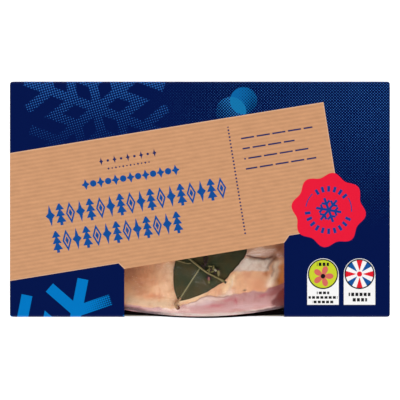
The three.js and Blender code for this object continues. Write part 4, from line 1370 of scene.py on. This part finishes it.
# a pointed oval leaflet: a ball stretched along its heading, folded a little along its middle
def leafletBody(rootX, rootY, heading, length, width, tone):
    rows, columns = sprig["leafletRows"], sprig["leafletColumns"]
    v = (np.arange(rows) + 1)[:, None] / (rows + 1)
    turn = 2 * math.pi * np.arange(columns)[None, :] / columns
    c, s = math.cos(math.radians(heading)), math.sin(math.radians(heading))
    along = (1 - np.cos(math.pi * v)) / 2 * length - sprig["rootOverlap"]
    girth = np.sin(math.pi * v) ** 0.8
    side = np.cos(turn) * girth * width / 2
    x, y = rootX + c * along - s * side, rootY + s * along + c * side
    fold = 0.3 * np.abs(side) * girth
    lift = sprig["stemRadius"] + fold + np.sin(turn) * girth * sprig["thickness"] / 2
    grid = np.stack([x, y, restHeight(x, y, lift)], axis=-1)
    ends = [(rootX + c * a, rootY + s * a) for a in (-sprig["rootOverlap"], length - sprig["rootOverlap"])]
    low, high = [(px, py, float(restHeight(px, py, sprig["stemRadius"]))) for px, py in ends]
    body, faces = closedBody(grid, low, high)
    return body, faces, np.full(len(body), tone)


def thymeFinish():
    finish = Finish("dried_thyme")
    tone = finish.attribute("tone")
    here = finish.place()
    patches = finish.noise(here, 2.2, 3, 0.6)
    bark = finish.noise(here, 0.5, 4, 0.7)
    mixed = tone + (patches - 0.5) * 0.4
    # the pale end of the tones: a pale twig, and on the leaflet at (9.8, -45.9) a painted glint of the film
    colour = finish.layer(screenColour(196, 188, 172), tone.ramp(-0.3, 0.0), screenColour(132, 118, 77))
    colour = finish.layer(colour, mixed.ramp(0.15, 0.5), screenColour(106, 98, 52))
    colour = finish.layer(colour, mixed.ramp(0.5, 0.85), screenColour(46, 24, 26))
    colour = finish.layer(colour, tone.ramp(1.1, 1.3), screenColour(138, 82, 78))
    colour = finish.shade(colour, (bark - 0.5) * 0.6 + 1)
    return finish.show(finish.principled({
        "Base Color": colour, "Roughness": bark.ramp(0.3, 0.7) * 0.2 + 0.55,
        "Specular IOR Level": 0.25, "Normal": finish.bump(bark, 0.12, 0.7),
    }))


def makeThyme(material):
    bodies = [stemBody(sprig["stem"], sprig["stemRadius"], 0.05, sprig["stemBlunt"])]
    bodies += [stemBody(shoot, sprig["shootRadius"], tone)
               for shoot, tone in zip(sprig["shoots"], sprig["shootTones"])]
    bodies += [leafletBody(*row) for row in leaflets]
    points, faceSets, tones, count = [], [], [], 0
    for body, faces, tone in bodies:
        faceSets += [f + count for f in faces]
        points.append(body)
        tones.append(tone)
        count += len(body)
    values = {"tone": ("POINT", np.concatenate(tones))}
    return makePiece("thyme_sprig_dried", np.concatenate(points), faceSets, material, values=values)


thymePiece = makeThyme(thymeFinish())
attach(thymePiece, "root")
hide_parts("thyme_sprig")
print("thyme laid")

film = {
    "standOff": 0.42, "overLeaf": 2.3, "overSprig": 4.4, "columns": 300, "domeRows": 90,
    "webRows": 12, "rimInset": 1.4, "rimLift": 0.08, "thickness": 0.06, "steepest": 2.2,
    "besideLeaf": (0.5, 10), "leafFrom": (-14, -1), "leafTo": (97, 108), "besideSprig": (2.2, 15),
    "pleat": 0.06, "pleatTo": (0.05, 0.4), "sag": 0.5, "webFade": (14, 34),
    "awayBehind": (-50, -25), "awayAside": (58, 72), "windowMiddle": 3,
}


# the film's outer face: over the dome at its stand-off, raised over the leaf and sprig, then a web
# from the widest line down to the tray's rim
def filmGrid():
    turn = 2 * math.pi * np.arange(film["columns"]) / film["columns"]
    angle = turn - joint["crowding"] * np.cos(turn)
    climb = (np.arange(film["domeRows"]) / film["domeRows"])[:, None]
    shrink = np.cos(climb * math.pi / 2) ** (2 / joint["sectionPower"])
    reach = outlineReach(angle) + film["standOff"]
    x, y = np.cos(angle) * reach * shrink, np.sin(angle) * reach * shrink
    ux, uy = leaf["along"]
    along = (x - leaf["base"][0]) * ux + (y - leaf["base"][1]) * uy
    off = (x - leaf["base"][0]) * uy - (y - leaf["base"][1]) * ux
    width = np.interp(along, *np.array(leafEdges["left"], dtype=float).T)
    overLeaf = (1 - softStep(np.abs(off) - width, *film["besideLeaf"])) * softStep(along, *film["leafFrom"])
    overLeaf = overLeaf * (1 - softStep(along, *film["leafTo"]))
    routes = [sprig["stem"], *sprig["shoots"]]
    stems = np.min([distanceToLine(x, y, route) for route in routes], axis=0)
    overSprig = 1 - softStep(stems, *film["besideSprig"])
    rise = np.maximum(mix(film["standOff"], film["overLeaf"], overLeaf),
                      mix(film["standOff"], film["overSprig"], overSprig))
    pleats = np.sin(angle * 31 + 2 * np.sin(angle * 7)) * (1 - softStep(climb, *film["pleatTo"]))
    dome = np.stack([x, y, filmHeight(x, y, rise + film["pleat"] * pleats)], axis=-1)
    down = np.linspace(1, 0, film["webRows"], endpoint=False)[:, None]
    web = mix(dome[:1], trayRimAt(angle)[None], down[..., None])
    sag = np.sin(down * math.pi) * film["sag"]
    web[..., 0] -= np.cos(angle) * sag
    web[..., 1] -= np.sin(angle) * sag
    return np.concatenate([web, dome])


# the film's height over a place, which is drawn in until it lies on the joint. The rise is measured
# square to the fat there, up to a limit where the fat is steep
def filmHeight(x, y, rise):
    angle = np.arctan2(y, x)
    outline = outlineReach(angle)
    reach = outline * np.minimum(np.hypot(x, y) / (outline + film["standOff"]), 0.999)
    px, py = np.cos(angle) * reach, np.sin(angle) * reach
    steep = np.minimum(np.sqrt(1 + topSlope(px, py) ** 2), film["steepest"])
    return jointTop(px, py) + rise * steep


# the point of the rim's flat top in a given direction from the centre
def trayRimAt(angle):
    x, y, _ = trayPoints(np.array([[film["rimInset"], tray["rim"]]]))[0].T
    around = np.arctan2(y, x)
    order = np.argsort(around)
    wrapped = np.arctan2(np.sin(angle), np.cos(angle))
    distance = np.interp(wrapped, around[order], np.hypot(x, y)[order], period=2 * math.pi)
    height = np.full_like(angle, tray["rim"] + film["rimLift"])
    return np.stack([np.cos(angle) * distance, np.sin(angle) * distance, height], axis=-1)


# clear but for its gloss, which is faint in the window, next to none on the web down to the rim, and
# fuller on the ends and back, where away is 1
def filmFinish():
    finish = Finish("clear_film")
    here = finish.place()
    pull = finish.noise(finish.place((0.25, 1, 0.6)), 5, 3, 0.55)
    creasing = finish.noise(here, 17, 4, 0.6)
    normal = finish.bump(pull, 0.3, 0.25, finish.bump(creasing, 1.2, 0.3))
    calm = finish.node("ShaderNodeFresnel", sockets={"IOR": 1.12, "Normal": normal})
    bright = finish.node("ShaderNodeFresnel", sockets={"IOR": 1.3, "Normal": normal})
    calm = calm.least(0.032) * (1 - finish.attribute("web") * 0.92)
    gloss = mix(calm, bright.least(0.22), finish.attribute("away"))
    clear = finish.node("ShaderNodeBsdfTransparent", sockets={"Color": (1, 1, 1, 1)})
    sheen = finish.principled({
        "Base Color": (0.95, 0.95, 0.95, 1), "Metallic": 1.0, "Roughness": 0.12, "Normal": normal,
    })
    shine = finish.node("ShaderNodeMixShader", sockets={0: gloss, 1: clear, 2: sheen})
    return finish.show(shine)


# the outer face with an inner one just under it, joined along the rim
def makeFilm(material):
    outer = filmGrid()
    rows, columns = outer.shape[:2]
    inner = outer.copy()
    inner[..., 2] -= film["thickness"]
    crown = float(outer[-1, :, 2].mean())
    points = np.concatenate([outer.reshape(-1, 3), [[0, 0, crown]], inner.reshape(-1, 3),
                             [[0, 0, crown - film["thickness"]]]])
    total = rows * columns + 1
    grid = gridFaces(rows, columns, joined=True)
    fan = fanFaces((rows - 1) * columns, columns, rows * columns, True)
    ring = np.arange(columns)
    after = (ring + 1) % columns
    rim = np.stack([after, ring, ring + total, after + total], axis=-1)
    faceSets = [grid, fan, grid[:, ::-1] + total, fan[:, ::-1] + total, rim]
    row = np.repeat(np.arange(rows), columns) - film["webRows"]
    web = np.append(1 - softStep(row, *film["webFade"]), 0)
    x, y, _ = points[:total].T
    aside = softStep(np.abs(x - film["windowMiddle"]), *film["awayAside"])
    away = np.maximum(softStep(y, *film["awayBehind"]), aside)
    values = {"web": ("POINT", np.tile(web, 2)), "away": ("POINT", np.tile(away, 2))}
    return makePiece("clear_film", points, faceSets, material, values=values)


filmPiece = makeFilm(filmFinish())
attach(filmPiece, "root")
print("film sealed")

# lengths here are in metres, and each lamp is its place, size and power
studio = {
    "floorHalf": 3.0, "floorSteps": 13, "floorDrop": 0.00005,
    "floorColour": screenColour(240, 240, 240), "floorGlow": 0.62,
    "horizon": 0.9, "zenith": 0.02, "skyFrom": 0.35, "skyTo": 0.85,
    "lamps": [((-0.9, 1.0, 1.05), 1.0, 10.6), ((1.0, 0.9, 1.0), 1.0, 8.2),
              ((-0.7, -1.3, 1.0), 1.0, 9.4), ((0.7, -1.3, 1.0), 1.0, 8.6)],
    "aimHeight": 0.05, "cameraLens": 1200, "cameraSensor": 36, "cameraAbove": 8.6664,
    "cameraAt": (0.000065, -0.00049), "cameraReach": 50,
}


def makeFloor():
    half, steps = studio["floorHalf"] / mm, studio["floorSteps"]
    u = np.linspace(-half, half, steps)
    x, y = np.meshgrid(u, u)
    points = np.stack([x, y, 0 * x - studio["floorDrop"] / mm], axis=-1).reshape(-1, 3)
    finish = Finish("pale_floor")
    cloud = finish.noise(finish.place(), 400, 2)
    colour = finish.shade(studio["floorColour"], (cloud - 0.5) * 0.02 + 1)
    shader = finish.principled({
        "Base Color": colour, "Roughness": 0.8, "Specular IOR Level": 0.1,
        "Emission Color": (1, 1, 1, 1), "Emission Strength": studio["floorGlow"],
    })
    floor = makePiece("floor", points, [gridFaces(steps, steps)], finish.show(shader))


# soft light from all round at low height, and little from overhead, so the print stays deep
def makeSurround():
    surround = Finish("studio", bpy.data.worlds.new("studio"))
    bpy.context.scene.world = surround.owner
    height = surround.parts(surround.node("ShaderNodeTexCoord", output="Generated"))[2]
    bright = mix(studio["horizon"], studio["zenith"], height.ramp(studio["skyFrom"], studio["skyTo"]))
    glow = surround.node("ShaderNodeBackground", sockets={"Color": (1, 1, 1, 1), "Strength": bright})
    surround.node("ShaderNodeOutputWorld", sockets={"Surface": glow})


def makeLamps():
    for index, (place, size, power) in enumerate(studio["lamps"]):
        light = bpy.data.lights.new(f"softbox_{index}", "AREA")
        light.shape = "SQUARE"
        light.size = size
        light.energy = power
        lamp = bpy.data.objects.new(f"softbox_{index}", light)
        lamp.location = place
        x, y, z = place
        tilt = math.atan2(math.hypot(x, y), z - studio["aimHeight"])
        lamp.rotation_euler = (0, tilt, math.atan2(y, x))
        bpy.context.scene.collection.objects.link(lamp)


def makeCamera():
    data = bpy.data.cameras.new("camera")
    data.lens = studio["cameraLens"]
    data.sensor_width = studio["cameraSensor"]
    data.clip_end = studio["cameraReach"]
    camera = bpy.data.objects.new("camera", data)
    top = sleeve["height"] * mm
    camera.location = (*studio["cameraAt"], top + studio["cameraAbove"])
    bpy.context.scene.collection.objects.link(camera)
    bpy.context.scene.camera = camera


makeFloor()
makeSurround()
makeLamps()
makeCamera()
bpy.context.scene.view_settings.view_transform = "Standard"
print("studio set")
